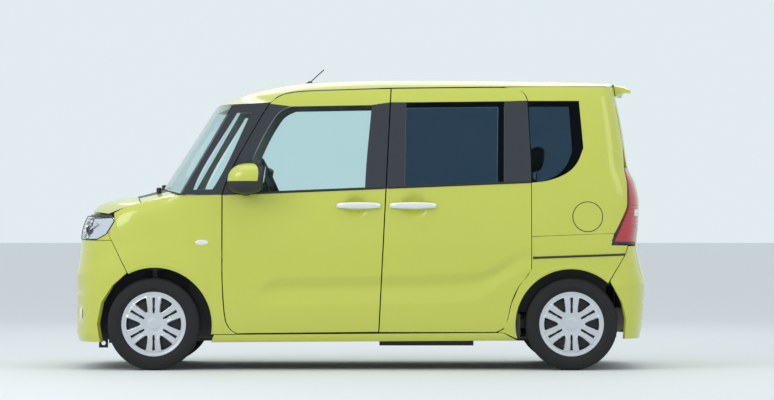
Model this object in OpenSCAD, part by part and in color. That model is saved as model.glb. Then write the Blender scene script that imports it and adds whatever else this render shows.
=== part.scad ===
/* [Overall] */
// Overall length of the car
car_l = 3395; // [3300:5:3500]
// Overall width of the body
car_w = 1475; // [1440:5:1520]
// Height of the roof at its middle
roof_z = 1722; // [1690:2:1760]
// Front axle behind the foremost point
front_overhang = 484; // [470:2:500]
// Rear axle ahead of the rearmost point
rear_overhang = 451; // [440:1:470]
// Distance between the left and right tyre middles
track = 1296; // [1280:2:1304]

/* [Wheels] */
// Tyre outer diameter under load
tyre_d = 544; // [530:2:556]
// Tyre section width
tyre_w = 155; // [145:1:160]
// Wheel outer diameter at the tyre bead
rim_d = 380; // [368:1:392]
// Wheel spindle diameter
spindle_d = 50; // [40:1:60]
// Front wheel arch radius
front_arch_r = 337; // [332:1:345]
// Rear wheel arch radius
rear_arch_r = 326; // [320:1:335]
// Kingpin axis inboard of the tyre middle
kingpin_in = 108; // [104:1:112]

/* [Heights] */
// Underside of the sills
sill_z = 165; // [155:1:175]
// Bottom edge of the doors
door_z = 214; // [208:1:222]
// Belt line at the B pillar
belt_z = 1070; // [1050:2:1090]
// Top edge of the side windows at the B pillar
win_top_z = 1579; // [1565:1:1590]
// Door top seam at the B pillar
rail_z = 1663; // [1652:1:1668]
// Cabin floor top
floor_z = 214; // [205:1:225]
// Bottom edge of the tailgate
gate_z = 560; // [540:2:580]
// Panel joint of the quarter panel
joint_z = 797; // [785:1:810]

/* [Panels] */
// Gap round a moving panel
shut_gap = 7; // [6:0.5:9]
// Seam between fixed panels
seam = 0.4; // [0.3:0.1:0.8]
// Wall thickness of the fixed panels
wall = 40; // [34:1:46]
// Door thickness below the belt
door_t = 62; // [54:1:70]
// Glass thickness
glass_t = 5; // [4:0.5:6]
// Glass set back from the outer skin
glass_in = 8; // [6:1:12]
// Bonnet thickness
bonnet_t = 24; // [18:1:30]
// Front door front edge behind the front axle
door_back = 403; // [398:1:410]
// Front door length at the belt
front_door_l = 965; // [940:5:980]
// Sliding door rear edge ahead of the rear axle
slide_ahead = 236; // [230:1:242]
// Radius of the fuel lid
lid_r = 85; // [78:1:92]

/* [Inside] */
// Seat cushion width
seat_w = 440; // [420:5:450]
// Seat clear of the body side
seat_clear = 207.5; // [200:0.5:215]
// Steering wheel diameter
steer_d = 370; // [350:2:380]

/* [Hidden] */
$fn = 64;
x_nose = -car_l/2;
x_tail = car_l/2;
half = car_w/2;
seat_y = half - seat_clear - seat_w/2;
x_fa = x_nose + front_overhang;
x_ra = x_tail - rear_overhang;
wheel_z = tyre_d/2;
wheel_y = track/2;
kingpin_y = wheel_y - kingpin_in;
x_door = x_fa + door_back;
x_b = x_door + front_door_l;
x_c = x_ra - slide_ahead;
// Where the sides start to round in towards the nose and the tail
x_round_f = x_fa + 63;
x_round_r = x_ra + 53;
// Squareness of the rounding in plan: 2 is an ellipse, higher is boxier
round_f = 4;
round_r = 5;
belt_slope = 0.0406;
pillar_lean = 0.0505;
arch_f = [x_fa + 6, wheel_z - 4];
arch_r = [x_ra - 4, wheel_z - 2];

// Side section: height, share of the half width
side_section = [[0, .950], [sill_z, .966], [300, .99], [520, 1], [720, 1], [900, .992],
                [belt_z, .975], [win_top_z, .868], [rail_z, .832], [roof_z, .79]];
// Nose line: height, set-back from the foremost point
nose_line = [[sill_z, 12], [215, 0], [560, 0], [640, 12], [740, 22], [800, 26], [863, 42],
             [903, 61], [928, 76], [953, 92], [1000, 180]];
// Tail line: height, set-back from the rearmost point
tail_line = [[sill_z, 30], [306, 7], [525, 0], [610, 21], [740, 46], [866, 34], [985, 30],
             [1093, 48], [1200, 97], [1343, 117], [1502, 144], [1610, 168], [roof_z, 182]];

function mix(a, b, f) = a + (b - a)*f;
function flat(rows) = [for (row = rows) each row];
function belt(x) = belt_z + belt_slope*(x - x_b);
function section(z) = half*lookup(z, side_section);
function nose(z) = x_nose + lookup(z, nose_line);
function tail(z) = x_tail - lookup(z, tail_line);
function pillar_b(z) = x_b + (z - belt_z)*pillar_lean;

// Half width at a station: the section narrowed by the rounding of nose or tail
function bow(reach, n) = reach <= 0 ? 1 : reach >= 1 ? 0 : pow(1 - pow(reach, n), 1/n);
function half_w(x, z) = section(z)
    * bow((x_round_f - x)/(x_round_f - nose(z)), round_f)
    * bow((x - x_round_r)/(tail(z) - x_round_r), round_r);
function nose_x(y, z) = x_round_f - (x_round_f - nose(z))*bow(abs(y)/section(z), round_f);
function tail_x(y, z) = x_round_r + (tail(z) - x_round_r)*bow(abs(y)/section(z), round_r);
// Direction square to the skin and inwards, in plan
function inward(p) =
    let (rear = p.x > x_round_r, n = rear ? round_r : round_f, start = rear ? x_round_r : x_round_f)
    let (depth = rear ? tail(p.z) - start : nose(p.z) - start)
    let (u = max(0, (p.x - start)/depth), w = min(1, abs(p.y)/section(p.z)))
    let (g = [pow(u, n - 1)/depth, sign(p.y)*pow(w, n - 1)/section(p.z), 0])
    -g/norm(g);
// Points of the left side, the nose and the tail, each set in by `in` square to the skin
function set_in(p, in) = p + in*inward(p);
function side(x, z, in = 0) = set_in([x, -half_w(x, z), z], in);
function nose_at(y, z, in = 0) = set_in([nose_x(y, z), y, z], in);
function tail_at(y, z, in = 0) = set_in([tail_x(y, z), y, z], in);
// Angle along the plan curve for a half width and back, so that corners get even steps
function curve_angle(y, z, n) = sign(y)*asin(pow(min(1, abs(y)/section(z)), n/2));
function curve_y(a, z, n) = sign(a)*section(z)*pow(abs(sin(a)), 2/n);

// Closed shell between an outer and an inner grid of points, rows upwards and columns to the
// right as seen from outside, with openings given as [row from, row to, column from, column to]
module shell(out, inn, open = []) {
    rows = len(out);
    cols = len(out[0]);
    function full(r, c) = r >= 0 && c >= 0 && r < rows - 1 && c < cols - 1
        && len([for (o = open) if (r >= o[0] && r < o[1] && c >= o[2] && c < o[3]) 1]) == 0;
    function at(r, c, s) = (s*rows + r)*cols + c;
    function quad(p, q, r, s) = [[p, q, r], [p, r, s]];
    function cell(r, c) =
        let (a = at(r, c, 0), b = at(r, c + 1, 0), d = at(r + 1, c + 1, 0), e = at(r + 1, c, 0))
        let (a1 = at(r, c, 1), b1 = at(r, c + 1, 1), d1 = at(r + 1, c + 1, 1), e1 = at(r + 1, c, 1))
        [each quad(a, e, d, b), each quad(a1, b1, d1, e1),
         each (full(r - 1, c) ? [] : quad(b1, a1, a, b)),
         each (full(r, c + 1) ? [] : quad(d1, b1, b, d)),
         each (full(r + 1, c) ? [] : quad(e1, d1, d, e)),
         each (full(r, c - 1) ? [] : quad(a1, e1, e, a))];
    polyhedron(points = [each flat(out), each flat(inn)],
               faces = [for (r = [0:rows - 2]) for (c = [0:cols - 2]) if (full(r, c)) each cell(r, c)]);
}

// Net of [x, z] points on the side: each key column is a line of [z, x], each row gives z at
// every key column, `split` gives the cells between key columns, `trim` pulls in all four edges
function net(lines, rows, split, trim = 0) = let (last = len(lines) - 1)
    [for (r = [0:len(rows) - 1])
        let (dz = r == 0 ? trim : r == len(rows) - 1 ? -trim : 0)
        let (key = [for (k = [0:last])
            let (z = rows[r][k] + dz, dx = k == 0 ? trim : k == last ? -trim : 0)
            [lookup(z, lines[k]) + dx, z]])
        [for (k = [0:last - 1]) for (i = [0:split[k] - 1]) mix(key[k], key[k + 1], i/split[k]),
         key[last]]];
function on_side(points, in) = [for (row = points) [for (p = row) side(p.x, p.y, in)]];
module both() {
    children();
    mirror([0, 1, 0]) children();
}
// Shell on the left side from a net, with its inner edges drawn in by `taper`
module side_shell(lines, rows, split, trim, thick, taper = 0, open = []) {
    shell(on_side(net(lines, rows, split, trim), 0),
          on_side(net(lines, rows, split, trim + taper), thick), open);
}
// Pane in an opening of such a net
module side_pane(lines, rows, split) {
    last = len(lines) - 1;
    drawn = [for (k = [0:last]) moved(lines[k], k == 0 ? 3*seam : k == last ? -3*seam : 0)];
    points = net(drawn, rows, split, 2*seam);
    shell(on_side(points, glass_in), on_side(points, glass_in + glass_t));
}

// Key lines of the side panels, each a list of [z, x]
function moved(line, dx) = [for (p = line) [p[0], p[1] + dx]];
b_line = [[0, pillar_b(0)], [roof_z, pillar_b(roof_z)]];
door_front = [[door_z, x_door + 86], [290, x_door + 21], [420, x_door + 6], [560, x_door],
              [belt(x_door) + 4, x_door], [win_top_z - 99, x_door + 220], [win_top_z - 2, x_door + 282],
              [win_top_z + 29, x_door + 319], [win_top_z + 53, x_door + 375], [rail_z, x_door + 480]];
front_glass_f = [[door_z, x_door + 130], [belt_z - 30, x_door + 95], [1236, x_door + 175],
                 [win_top_z - 106, x_door + 298], [win_top_z - 48, x_door + 347],
                 [win_top_z - 24, x_door + 403], [rail_z, x_door + 430]];
front_glass_r = [[door_z, x_b - 140], [belt_z, x_b - 124], [win_top_z, x_b - 83], [rail_z, x_b - 76]];
slide_glass_f = [[door_z, x_b + 95], [belt_z, x_b + 109], [win_top_z, x_b + 120], [rail_z, x_b + 124]];
slide_glass_r = [[door_z, x_c - 300], [400, x_c - 200], [600, x_c - 163], [belt_z, x_c - 161],
                 [rail_z, x_c - 159]];
slide_rear = [[door_z + 11, x_c - 207], [door_z + 35, x_c - 165], [300, x_c - 141], [389, x_c - 121],
              [491, x_c - 77], [598, x_c], [belt_z + 36, x_c], [win_top_z + 11, x_c - 20],
              [rail_z - 13, x_c - 65], [rail_z + 7, x_c - 159]];
screen_edge = [[belt_z - 40, x_door - 246], [win_top_z - 12, x_door + 67]];
vent_glass_f = [[belt_z - 9, x_door - 172], [win_top_z - 60, x_door + 88]];
vent_glass_r = [[belt_z - 9, x_door - 60], [win_top_z - 60, x_door + 166]];

// Rows of the side panels: z at each key line
front_door_rows = [
    [door_z, door_z + 2, door_z + 9, door_z + 10], [290, 292, 298, 300], [420, 422, 428, 430],
    [560, 560, 560, 560], [760, 765, 775, 780],
    [belt(x_door), belt(x_door + 95), belt(x_b - 124), belt(x_b)],
    [1330, 1330, 1330, 1330],
    [win_top_z - 99, win_top_z - 26, win_top_z - 16, win_top_z - 5],
    [win_top_z - 2, rail_z - 20, rail_z - 4, rail_z]];
slide_rows = [
    [door_z + 10, door_z + 10, door_z + 10, door_z + 11], [300, 300, 300, 300], [390, 390, 390, 389],
    [495, 495, 495, 491], [600, 600, 600, 598], [800, 800, 800, 800],
    [belt(x_b), belt(x_b + 109), belt(x_c - 161), belt(x_c)],
    [win_top_z, win_top_z, win_top_z + 4, win_top_z + 11],
    [rail_z, rail_z + 2, rail_z + 7, rail_z - 13]];
a_pillar_rows = [
    [belt_z - 36, belt_z - 36, belt_z - 36, belt_z - 36], [belt_z - 9, belt_z - 9, belt_z - 5, belt_z - 5],
    [1300, 1300, 1300, 1300], [win_top_z - 60, win_top_z - 60, win_top_z - 62, win_top_z - 62],
    [win_top_z - 12, win_top_z - 10, win_top_z - 6, win_top_z - 4]];
front_door_lines = [door_front, front_glass_f, front_glass_r, b_line];
slide_lines = [moved(b_line, shut_gap/2 - seam/2), slide_glass_f, slide_glass_r, slide_rear];
a_pillar_lines = [screen_edge, vent_glass_f, vent_glass_r, moved(door_front, -shut_gap/2)];

function part_rows(rows, r0, r1, k0, k1) = [for (r = [r0:r1]) [for (k = [k0:k1]) rows[r][k]]];

module front_door_left() {
    color("yellowgreen")
        side_shell(front_door_lines, front_door_rows, [2, 6, 2], shut_gap/2, door_t, 14, [[5, 7, 2, 8]]);
}
module front_door_glass_left() {
    color("lightcyan")
        side_pane([front_glass_f, front_glass_r], part_rows(front_door_rows, 5, 7, 1, 2), [6]);
}
module sliding_doors() {
    color("yellowgreen") both()
        side_shell(slide_lines, slide_rows, [2, 6, 2], seam/2, door_t, 0, [[6, 7, 2, 8]]);
}
module a_pillars() {
    color("black") both()
        side_shell(a_pillar_lines, a_pillar_rows, [1, 3, 1], seam/2, wall, 0, [[1, 3, 1, 4]]);
}
// The B pillar stands inboard of both doors, from sill to roof rail
pillar_half = 65;
sill_from = arch_f.x + front_arch_r + 8;
sill_to = arch_r.x - rear_arch_r - 70;
function sill_top(x) = mix(door_z - shut_gap/2, door_z + 10 - seam, (x - sill_from)/(sill_to - sill_from));
module b_pillars() {
    lines = [moved(b_line, -pillar_half), moved(b_line, pillar_half)];
    foot = [for (x = [-pillar_half, pillar_half]) sill_top(pillar_b(door_z) + x)];
    rows = [foot, for (z = [500, 800, belt_z, 1330, win_top_z, rail_z]) [z, z]];
    points = net(lines, rows, [2], seam);
    color("dimgray") both()
        shell(on_side(points, door_t + shut_gap), on_side(points, door_t + shut_gap + 45));
}
module sills() {
    front = [[sill_z, sill_from - 14], [door_z, sill_from]];
    rear = [[sill_z, sill_to + 84], [door_z, sill_to]];
    rows = [[sill_z, sill_z + 10], [sill_z + 22, sill_z + 30], [sill_top(sill_from), sill_top(sill_to)]];
    color("olivedrab") both()
        side_shell([front, rear], rows, [10], 0, door_t + shut_gap + 45 + seam);
}

// Panel round a wheel arch. Keys: angle on the arch, outer edge x, outer edge z, roll-in there
function ring(centre, r, keys, shares) =
    [for (v = shares) [for (k = [0:len(keys) - 2]) for (i = [0, .5])
        ring_point(centre, r, mix(keys[k], keys[k + 1], i), v),
        ring_point(centre, r, keys[len(keys) - 1], v)]];
function ring_point(centre, r, key, v) =
    let (p = mix([centre.x + r*cos(key[0]), centre.y + r*sin(key[0])], [key[1], key[2]], v))
    [p.x, p.y, key[3]*pow(v, 8)];
function on_ring(points, in) =
    [for (row = points) [for (p = row) side(p.x, p.y, p.z + in*(1 - flange*p.z/shoulder_in))]];
shares = [0, .35, .7, .92, 1];
door_edge = x_door - shut_gap/2;
shoulder_in = 30;
// Share of the wall that the rolled-in top edge loses
flange = .8;
flange_in = shoulder_in + wall*(1 - flange);
// Bonnet seam along the fender: x, z
bonnet_seam = [[x_fa - 306, 920], [x_fa - 249, 940], [x_fa - 167, 966], [x_fa - 81, 987],
               [x_fa + 33, 1010], [x_fa + 157, belt_z - 40]];
fender_keys = [
    [117, x_fa - 266, 803, 0], [113, x_fa - 227, 880, 0], [106, x_fa - 249, 926, shoulder_in],
    [98, x_fa - 167, 966, shoulder_in], [88, x_fa - 81, 987, shoulder_in],
    [76, x_fa + 33, 1010, shoulder_in],
    [62, x_fa + 157, belt_z - 38, 8], [42, door_edge, belt_z - 38, 0], [22, door_edge, 760, 0],
    [13, door_edge, 560, 0], [6, door_edge + 6, 420, 0], [0, door_edge + 21, 292, 0],
    [-9.4, door_edge + 84, sill_top(door_edge + 84) + seam, 0]];
module front_fenders() {
    points = ring(arch_f, front_arch_r, fender_keys, shares);
    color("yellowgreen") both() shell(on_ring(points, 0), on_ring(points, wall));
}

function joint(x) = joint_z + 0.0375*(x - x_ra - 8);
// Tail lamp edge seen from the side: z, x
lamp_edge = [[738, x_ra + 216], [797, x_ra + 249], [877, x_ra + 291], [985, x_ra + 331],
             [1091, x_ra + 331], [1197, x_ra + 316]];
lamp_top = 1197;
lamp_bottom = 742;
// Tailgate half width: z, y, from its distance to the body's widest line
gate_edge = [for (p = [[gate_z, 162.5], [740, 172.5], [1100, 177.5], [1200, 182.5], [1343, 177.5],
                       [1502, 189.5], [1610, 212.5], [1660, 232.5], [roof_z, 262.5]]) [p[0], half - p[1]]];
function gate_half(z) = lookup(z, gate_edge);
tail_edge = [each lamp_edge, for (z = [1260, 1343, 1420, 1502, 1610, rail_z + 12])
    [z, tail_x(gate_half(z) + shut_gap, z)]];
// Bumper seam behind the rear arch: z, x
rear_seam = [[200, arch_r.x + 318], [306, arch_r.x + 324], [400, arch_r.x + 299], [525, arch_r.x + 228],
             [604, x_ra + 272], [685, x_ra + 321], [732, x_ra + 336]];
quarter_keys = [
    [188, x_c - 168 + seam, door_z + 33, 0], [178, x_c - 141 + seam, 300, 0],
    [162, x_c - 121 + seam, 389, 0],
    [147, x_c - 77 + seam, 491, 0], [133, x_c + seam, 598, 0], [122, x_c + seam, joint(x_c) - seam, 0],
    [100, x_ra - 127, joint(x_ra - 127) - seam, 0], [80, x_ra + 13, joint(x_ra + 13) - seam, 0],
    [62, x_ra + 153, joint(x_ra + 153) - seam, 0], [54, x_ra + 233, joint(x_ra + 233) - seam, 0],
    [53, x_ra + 204, 736, 0], [51.5, x_ra + 331, 735, 0], [50, x_ra + 314, 682, 0],
    [48.5, x_ra + 267, 604, 0], [48, x_ra + 223, 532, 0]];
module quarter_lower() {
    points = ring(arch_r, rear_arch_r, quarter_keys, shares);
    color("yellowgreen") both() shell(on_ring(points, 0), on_ring(points, wall));
}
rear_glass_f = [[700, x_c + 28], [roof_z, x_c + 12]];
rear_glass_m = [[700, x_ra - 70], [roof_z, x_ra - 70]];
rear_glass_r = [[700, x_ra + 100], [1275, x_ra + 70], [win_top_z - 16, x_ra + 53], [roof_z, x_ra + 40]];
quarter_lines = [moved(slide_rear, seam), rear_glass_f, rear_glass_m, rear_glass_r, tail_edge];
quarter_rows = [
    [joint(x_c), joint(x_c + 28), joint(x_ra - 70), joint(x_ra + 100), joint(x_ra + 250)],
    [950, 950, 945, 930, 900],
    [belt(x_c), belt(x_c) + 6, belt(x_c) + 36, 1275, lamp_top],
    [1400, 1400, 1400, 1400, 1380],
    [win_top_z + 11, win_top_z + 9, win_top_z + 8, win_top_z + 5, win_top_z + 6],
    [rail_z - 13, rail_z - 13, rail_z - 13, rail_z - 13, rail_z - 13],
    [rail_z + 7 - seam, rail_z + 8, rail_z + 10, rail_z + 10, rail_z + 9]];
module quarter_shell() {
    side_shell(quarter_lines, quarter_rows, [1, 3, 3, 4], 0, wall, 0, [[2, 4, 1, 7]]);
}
lid_at = [x_ra + 94, 904];
lid_gap = 7;
module lid_cylinder(r, depth, from = 20) {
    translate([lid_at.x, -half_w(lid_at.x, lid_at.y) - from, lid_at.y]) rotate([-90, 0, 0])
        cylinder(r = r, h = from + depth);
}
module quarter_upper() {
    color("yellowgreen") difference() {
        quarter_shell();
        lid_cylinder(lid_r + lid_gap, 26);
    }
    color("yellowgreen") mirror([0, 1, 0]) quarter_shell();
}
module fuel_lid() {
    size = lid_r + 15;
    lines = [for (x = [lid_at.x - size, lid_at.x + size]) [[0, x], [roof_z, x]]];
    points = net(lines, [for (z = [-size, 0, size]) [lid_at.y + z, lid_at.y + z]], [4]);
    color("yellowgreen") intersection() {
        shell(on_side(points, 0), on_side(points, 6));
        lid_cylinder(lid_r, 40);
    }
}
module side_glass() {
    color("dimgray") both() {
        side_pane([slide_glass_f, slide_glass_r], part_rows(slide_rows, 6, 7, 1, 2), [6]);
        side_pane([rear_glass_f, rear_glass_m, rear_glass_r], part_rows(quarter_rows, 2, 4, 1, 3), [3, 3]);
        side_pane([vent_glass_f, vent_glass_r], part_rows(a_pillar_rows, 1, 3, 1, 2), [3]);
    }
}

// Panels that span the car. Each row is [middle x, middle z, edge x, edge z, edge roll-in], and the
// crown says how late the row drops to its edge
across = [-1, -.95, -.86, -.7, -.4, 0, .4, .7, .86, .95, 1];
function span_point(row, t, crown, down, in) =
    let (edge = side(row[2], row[3], row[4] + in))
    [mix(row[0], edge.x, t*t), -t*edge.y, mix(row[1] - down, row[3], pow(abs(t), crown))];
function span(rows, crown, down = 0, in = 0) =
    [for (row = rows) [for (t = across) span_point(row, t, crown, down, in)]];
function rear_first(rows) = [for (i = [len(rows) - 1:-1:0]) rows[i]];

half_gap = shut_gap/2;
roof_end = x_tail - lookup(roof_z - 20, tail_line) - shut_gap;
roof_rows = [
    [x_door - 52, win_top_z - 9, x_door + 67, win_top_z - 11, 0],
    [x_door + 110, roof_z - 82, x_door + 282, win_top_z + half_gap, 0],
    [x_door + 250, roof_z - 45, x_door + 375, win_top_z + 53 + half_gap, 0],
    [x_door + 390, roof_z - 22, x_door + 480, rail_z - 11 + half_gap, 0],
    [x_b - 300, roof_z - 4, x_b - 300, rail_z - 7 + half_gap, 0],
    [x_b, roof_z, x_b, rail_z + half_gap, 0],
    [x_c - 159, roof_z - 3, x_c - 159, rail_z + 7 + seam, 0],
    [x_ra + 53, roof_z - 12, x_ra + 53, rail_z + 12, 0],
    [roof_end, roof_z - 20, tail_x(gate_half(rail_z) + 2*shut_gap, rail_z + 12) - 4, rail_z + 12, 0]];
// The underside is drawn in at the rear so that the tailgate can swing past it
module roof() {
    last = len(roof_rows) - 1;
    under = [for (i = [0:last]) i < last ? roof_rows[i] : roof_rows[i] - [60, 0, 60, 0, 0]];
    color("yellowgreen")
        shell(span(rear_first(roof_rows), 5), span(rear_first(under), 5, wall, 60));
}

screen_rise = win_top_z - 16 - (belt_z - 34);
function screen_row(v) = let (z = belt_z - 34 + v*screen_rise)
    [mix(x_door - 379, x_door - 58, v), mix(belt_z + 4, win_top_z - 12, v),
     lookup(z, screen_edge) - glass_t - 3*seam, z, 3];
module windscreen() {
    rows = [for (v = [0:.25:1]) screen_row(v)];
    back = [for (row = rows) row + glass_t*[.85, -.55, .85, -.55, 0]];
    color("lightcyan") shell(span(rear_first(rows), 2), span(rear_first(back), 2));
}
bonnet_rear = x_fa - 123;
cowl_rows = [
    [bonnet_rear + half_gap, belt_z - 43, x_fa - 81 + half_gap, 986, flange_in + seam],
    [x_door - 379 + 1, belt_z - 3, x_fa + 147, belt_z - 41, wall + seam]];
module cowl() {
    color("black") shell(span(rear_first(cowl_rows), 2.5), span(rear_first(cowl_rows), 2.5, 35, 30));
}
bonnet_rows = [
    [x_fa - 403, 936, x_fa - 306, 922, shoulder_in], [x_fa - 386, 957, x_fa - 275, 932, shoulder_in],
    [x_fa - 350, 982, x_fa - 240, 943, shoulder_in], [x_fa - 290, 1003, x_fa - 200, 956, shoulder_in],
    [x_fa - 220, 1016, x_fa - 150, 970, shoulder_in],
    [bonnet_rear - half_gap - 1.2, belt_z - 42, x_fa - 81 - half_gap, 986, shoulder_in]];
module bonnet() {
    edge = [0, 0, 0, 0, flange_in - shoulder_in + shut_gap + 4];
    rows = [for (row = bonnet_rows) row + edge];
    color("yellowgreen")
        shell(span(rear_first(rows), 2.5), span(rear_first(rows), 2.5, bonnet_t, bonnet_t));
}

// Nose panels, columns from the right side to the left as seen from ahead
function nose_grid(zs, right, left, cells, in) = [for (z = zs)
    let (a = curve_angle(lookup(z, right), z, round_f), b = curve_angle(lookup(z, left), z, round_f))
    [for (i = [0:cells]) nose_at(curve_y(mix(a, b, i/cells), z, round_f), z, in)]];
function at_x(line) = [for (p = line) [p[0], half_w(p[1], p[0])]];
function left_of(line) = [for (p = line) [p[0], -p[1]]];
bumper_t = 26;
bumper_top = 766;
front_seam = [[sill_z, arch_f.x - front_arch_r + 18], [wheel_z, arch_f.x - front_arch_r - seam],
              [400, arch_f.x - 310], [500, arch_f.x - 245], [575, arch_f.x - 160], [bumper_top, x_fa - 250]];
bumper_levels = [sill_z, 215, 285, 400, 500, 575, 660, bumper_top];
intake = [2, 3, 7, 13];
module front_bumper() {
    edge = at_x(moved(front_seam, 2.5*seam));
    color("yellowgreen") shell(nose_grid(bumper_levels, edge, left_of(edge), 20, 0),
                               nose_grid(bumper_levels, edge, left_of(edge), 20, bumper_t), [intake]);
}
lamp_in = 385;
lamp_back = [[bumper_top + 1.5*seam, x_fa - 345], [800, x_fa - 280], [878, x_fa - 230], [917, x_fa - 256]];
lamp_levels = [bumper_top + 1.5*seam, 800, 840, 878, 908];
module headlamps() {
    inner = [[0, -lamp_in - seam], [roof_z, -lamp_in - seam]];
    color("lightsteelblue") both()
        shell(nose_grid(lamp_levels, inner, left_of(at_x(lamp_back)), 6, 0),
              nose_grid(lamp_levels, inner, left_of(at_x(lamp_back)), 6, 45));
}
slats = 5;
grille_top = 905;
grille_levels = [for (i = [0:2*slats]) mix(bumper_top + 1.5*seam, grille_top, i/(2*slats))];
module grille() {
    edge = [[0, lamp_in], [roof_z, lamp_in]];
    gaps = [for (i = [1:slats - 1]) [2*i - 1, 2*i, 1, 11]];
    color("black") shell(nose_grid(grille_levels, edge, left_of(edge), 12, 4),
                         nose_grid(grille_levels, edge, left_of(edge), 12, 26), gaps);
}

// Tail panels, columns from the left side to the right as seen from behind
function tail_row(z, ys, split, in) = let (a = [for (y = ys) curve_angle(y, z, round_r)])
    [for (k = [0:len(ys) - 2]) for (i = [0:split[k] - 1])
        tail_at(curve_y(mix(a[k], a[k + 1], i/split[k]), z, round_r), z, in),
     tail_at(ys[len(ys) - 1], z, in)];
module rear_bumper() {
    zs = [sill_z + 20, 306, 430, 525, gate_z - shut_gap, 640, 731];
    edge = at_x(moved(rear_seam, -6*seam));
    function keys(z) = let (y = lookup(z, edge), g = gate_half(z) + shut_gap) [-y, -g, g, y];
    color("yellowgreen") shell([for (z = zs) tail_row(z, keys(z), [5, 10, 5], 0)],
                               [for (z = zs) tail_row(z, keys(z), [5, 10, 5], bumper_t)], [[4, 6, 5, 15]]);
}
module tail_lamps() {
    zs = [lamp_bottom, 797, 877, 985, 1091, lamp_top - 4];
    edge = at_x(moved(lamp_edge, 2*seam));
    function keys(z) = [-lookup(z, edge), -gate_half(z) - shut_gap];
    color("firebrick") both() shell([for (z = zs) tail_row(z, keys(z), [5], 0)],
                                    [for (z = zs) tail_row(z, keys(z), [5], wall)]);
}
gate_zs = [gate_z, 650, 740, 900, 1120, 1200, 1343, 1550, 1610, roof_z - 48];
pane_rows = [4, 7];
gate_pane = .84;
gate_taper = 12;
module tailgate() {
    last = len(gate_zs) - 1;
    function keys(z, in) = (gate_half(z) - in)*[-1, -gate_pane, gate_pane, 1];
    function inner_z(i) = gate_zs[i] + (i == 0 ? gate_taper : i == last ? -wall : 0);
    color("yellowgreen") shell(
        [for (z = gate_zs) tail_row(z, keys(z, 0), [2, 8, 2], 0)],
        [for (i = [0:last]) tail_row(inner_z(i), keys(gate_zs[i], gate_taper), [2, 8, 2], wall)],
        [[pane_rows[0], pane_rows[1], 2, 10]]);
}
module tailgate_glass() {
    zs = [for (i = [pane_rows[0]:pane_rows[1]])
        gate_zs[i] + (i == pane_rows[0] ? seam : i == pane_rows[1] ? -seam : 0)];
    function keys(z) = ((gate_half(z) - gate_taper)*gate_pane - 1)*[-1, 1];
    color("dimgray") shell([for (z = zs) tail_row(z, keys(z), [8], glass_in)],
                           [for (z = zs) tail_row(z, keys(z), [8], glass_in + glass_t)]);
}
// Spoiler: x behind the tailgate skin and z, upper and lower edge
spoiler_reach = 96;
spoiler_seat = 0.6;
module rear_spoiler() {
    half_span = half - 267.5;
    ys = [for (i = [0:8]) mix(half_span, -half_span, i/8)];
    function edge(y) = pow(abs(y)/half_span, 4);
    function behind(y, z, x) = tail_at(y, z) + [x, 0, 0];
    function seat(y) = spoiler_seat*(1 + 4*edge(y));
    top = [[for (y = ys) behind(y, roof_z - 21 - 19*edge(y), seat(y))],
           [for (y = ys) behind(y, roof_z - 30 - 22*edge(y), spoiler_reach*.6)],
           [for (y = ys) behind(y, roof_z - 44 - 26*edge(y), spoiler_reach)]];
    under = [[for (y = ys) behind(y, roof_z - 102, seat(y))],
             [for (y = ys) behind(y, roof_z - 80, spoiler_reach*.6)],
             [for (y = ys) behind(y, roof_z - 60 - 26*edge(y), spoiler_reach)]];
    color("yellowgreen") shell(top, under);
}

// Tyres and wheels are drawn about a vertical axis, outside face up, then stood at a corner
fit = 0.3;
module at_corner(x, sign) {
    mirror([0, sign < 0 ? 0 : 1, 0]) translate([x, -wheel_y, wheel_z]) rotate([90, 0, 0]) children();
}
rim_r = rim_d/2;
module tyre_body() {
    r = tyre_d/2;
    w = tyre_w/2;
    bead = rim_r + fit;
    color("black") rotate_extrude($fn = 96) polygon([
        [bead, -w + 16], [bead + 12, -w + 6], [mix(bead, r, .5), -w], [r - 14, -w + 5], [r, -w + 22],
        [r, w - 22], [r - 14, w - 5], [mix(bead, r, .5), w], [bead + 12, w - 6], [bead, w - 16]]);
}
spindle_r = spindle_d/2;
cover_holes = 6;
hub_r = 46;
hub_cap = 34;
module rim_body() {
    w = tyre_w/2 - 18;
    bore_r = spindle_r + fit;
    color("silver") difference() {
        rotate_extrude($fn = 96) polygon([
            [0, w - hub_cap], [bore_r, w - hub_cap], [bore_r, -w], [hub_r, -w], [hub_r, w - 22],
            [rim_r - 18, w - 12], [rim_r - 18, -w], [rim_r, -w], [rim_r, w], [rim_r - 8, w + 4],
            [hub_r, w - 4], [0, w]]);
        for (i = [0:cover_holes - 1]) rotate(360/cover_holes*(i + .5)) {
            translate([128, 0, 0]) cylinder(r = 25, h = tyre_w, center = true);
            translate([100, 0, 0]) cube([50, 26, tyre_w], center = true);
        }
    }
}
hub_face = tyre_w/2 - 18 - hub_cap;
module tyre_front_left() { at_corner(x_fa, -1) tyre_body(); }
module tyre_front_right() { at_corner(x_fa, 1) tyre_body(); }
module tyre_rear_left() { at_corner(x_ra, -1) tyre_body(); }
module tyre_rear_right() { at_corner(x_ra, 1) tyre_body(); }
module rim_front_left() { at_corner(x_fa, -1) rim_body(); }
module rim_front_right() { at_corner(x_fa, 1) rim_body(); }
module rim_rear_left() { at_corner(x_ra, -1) rim_body(); }
module rim_rear_right() { at_corner(x_ra, 1) rim_body(); }

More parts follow.
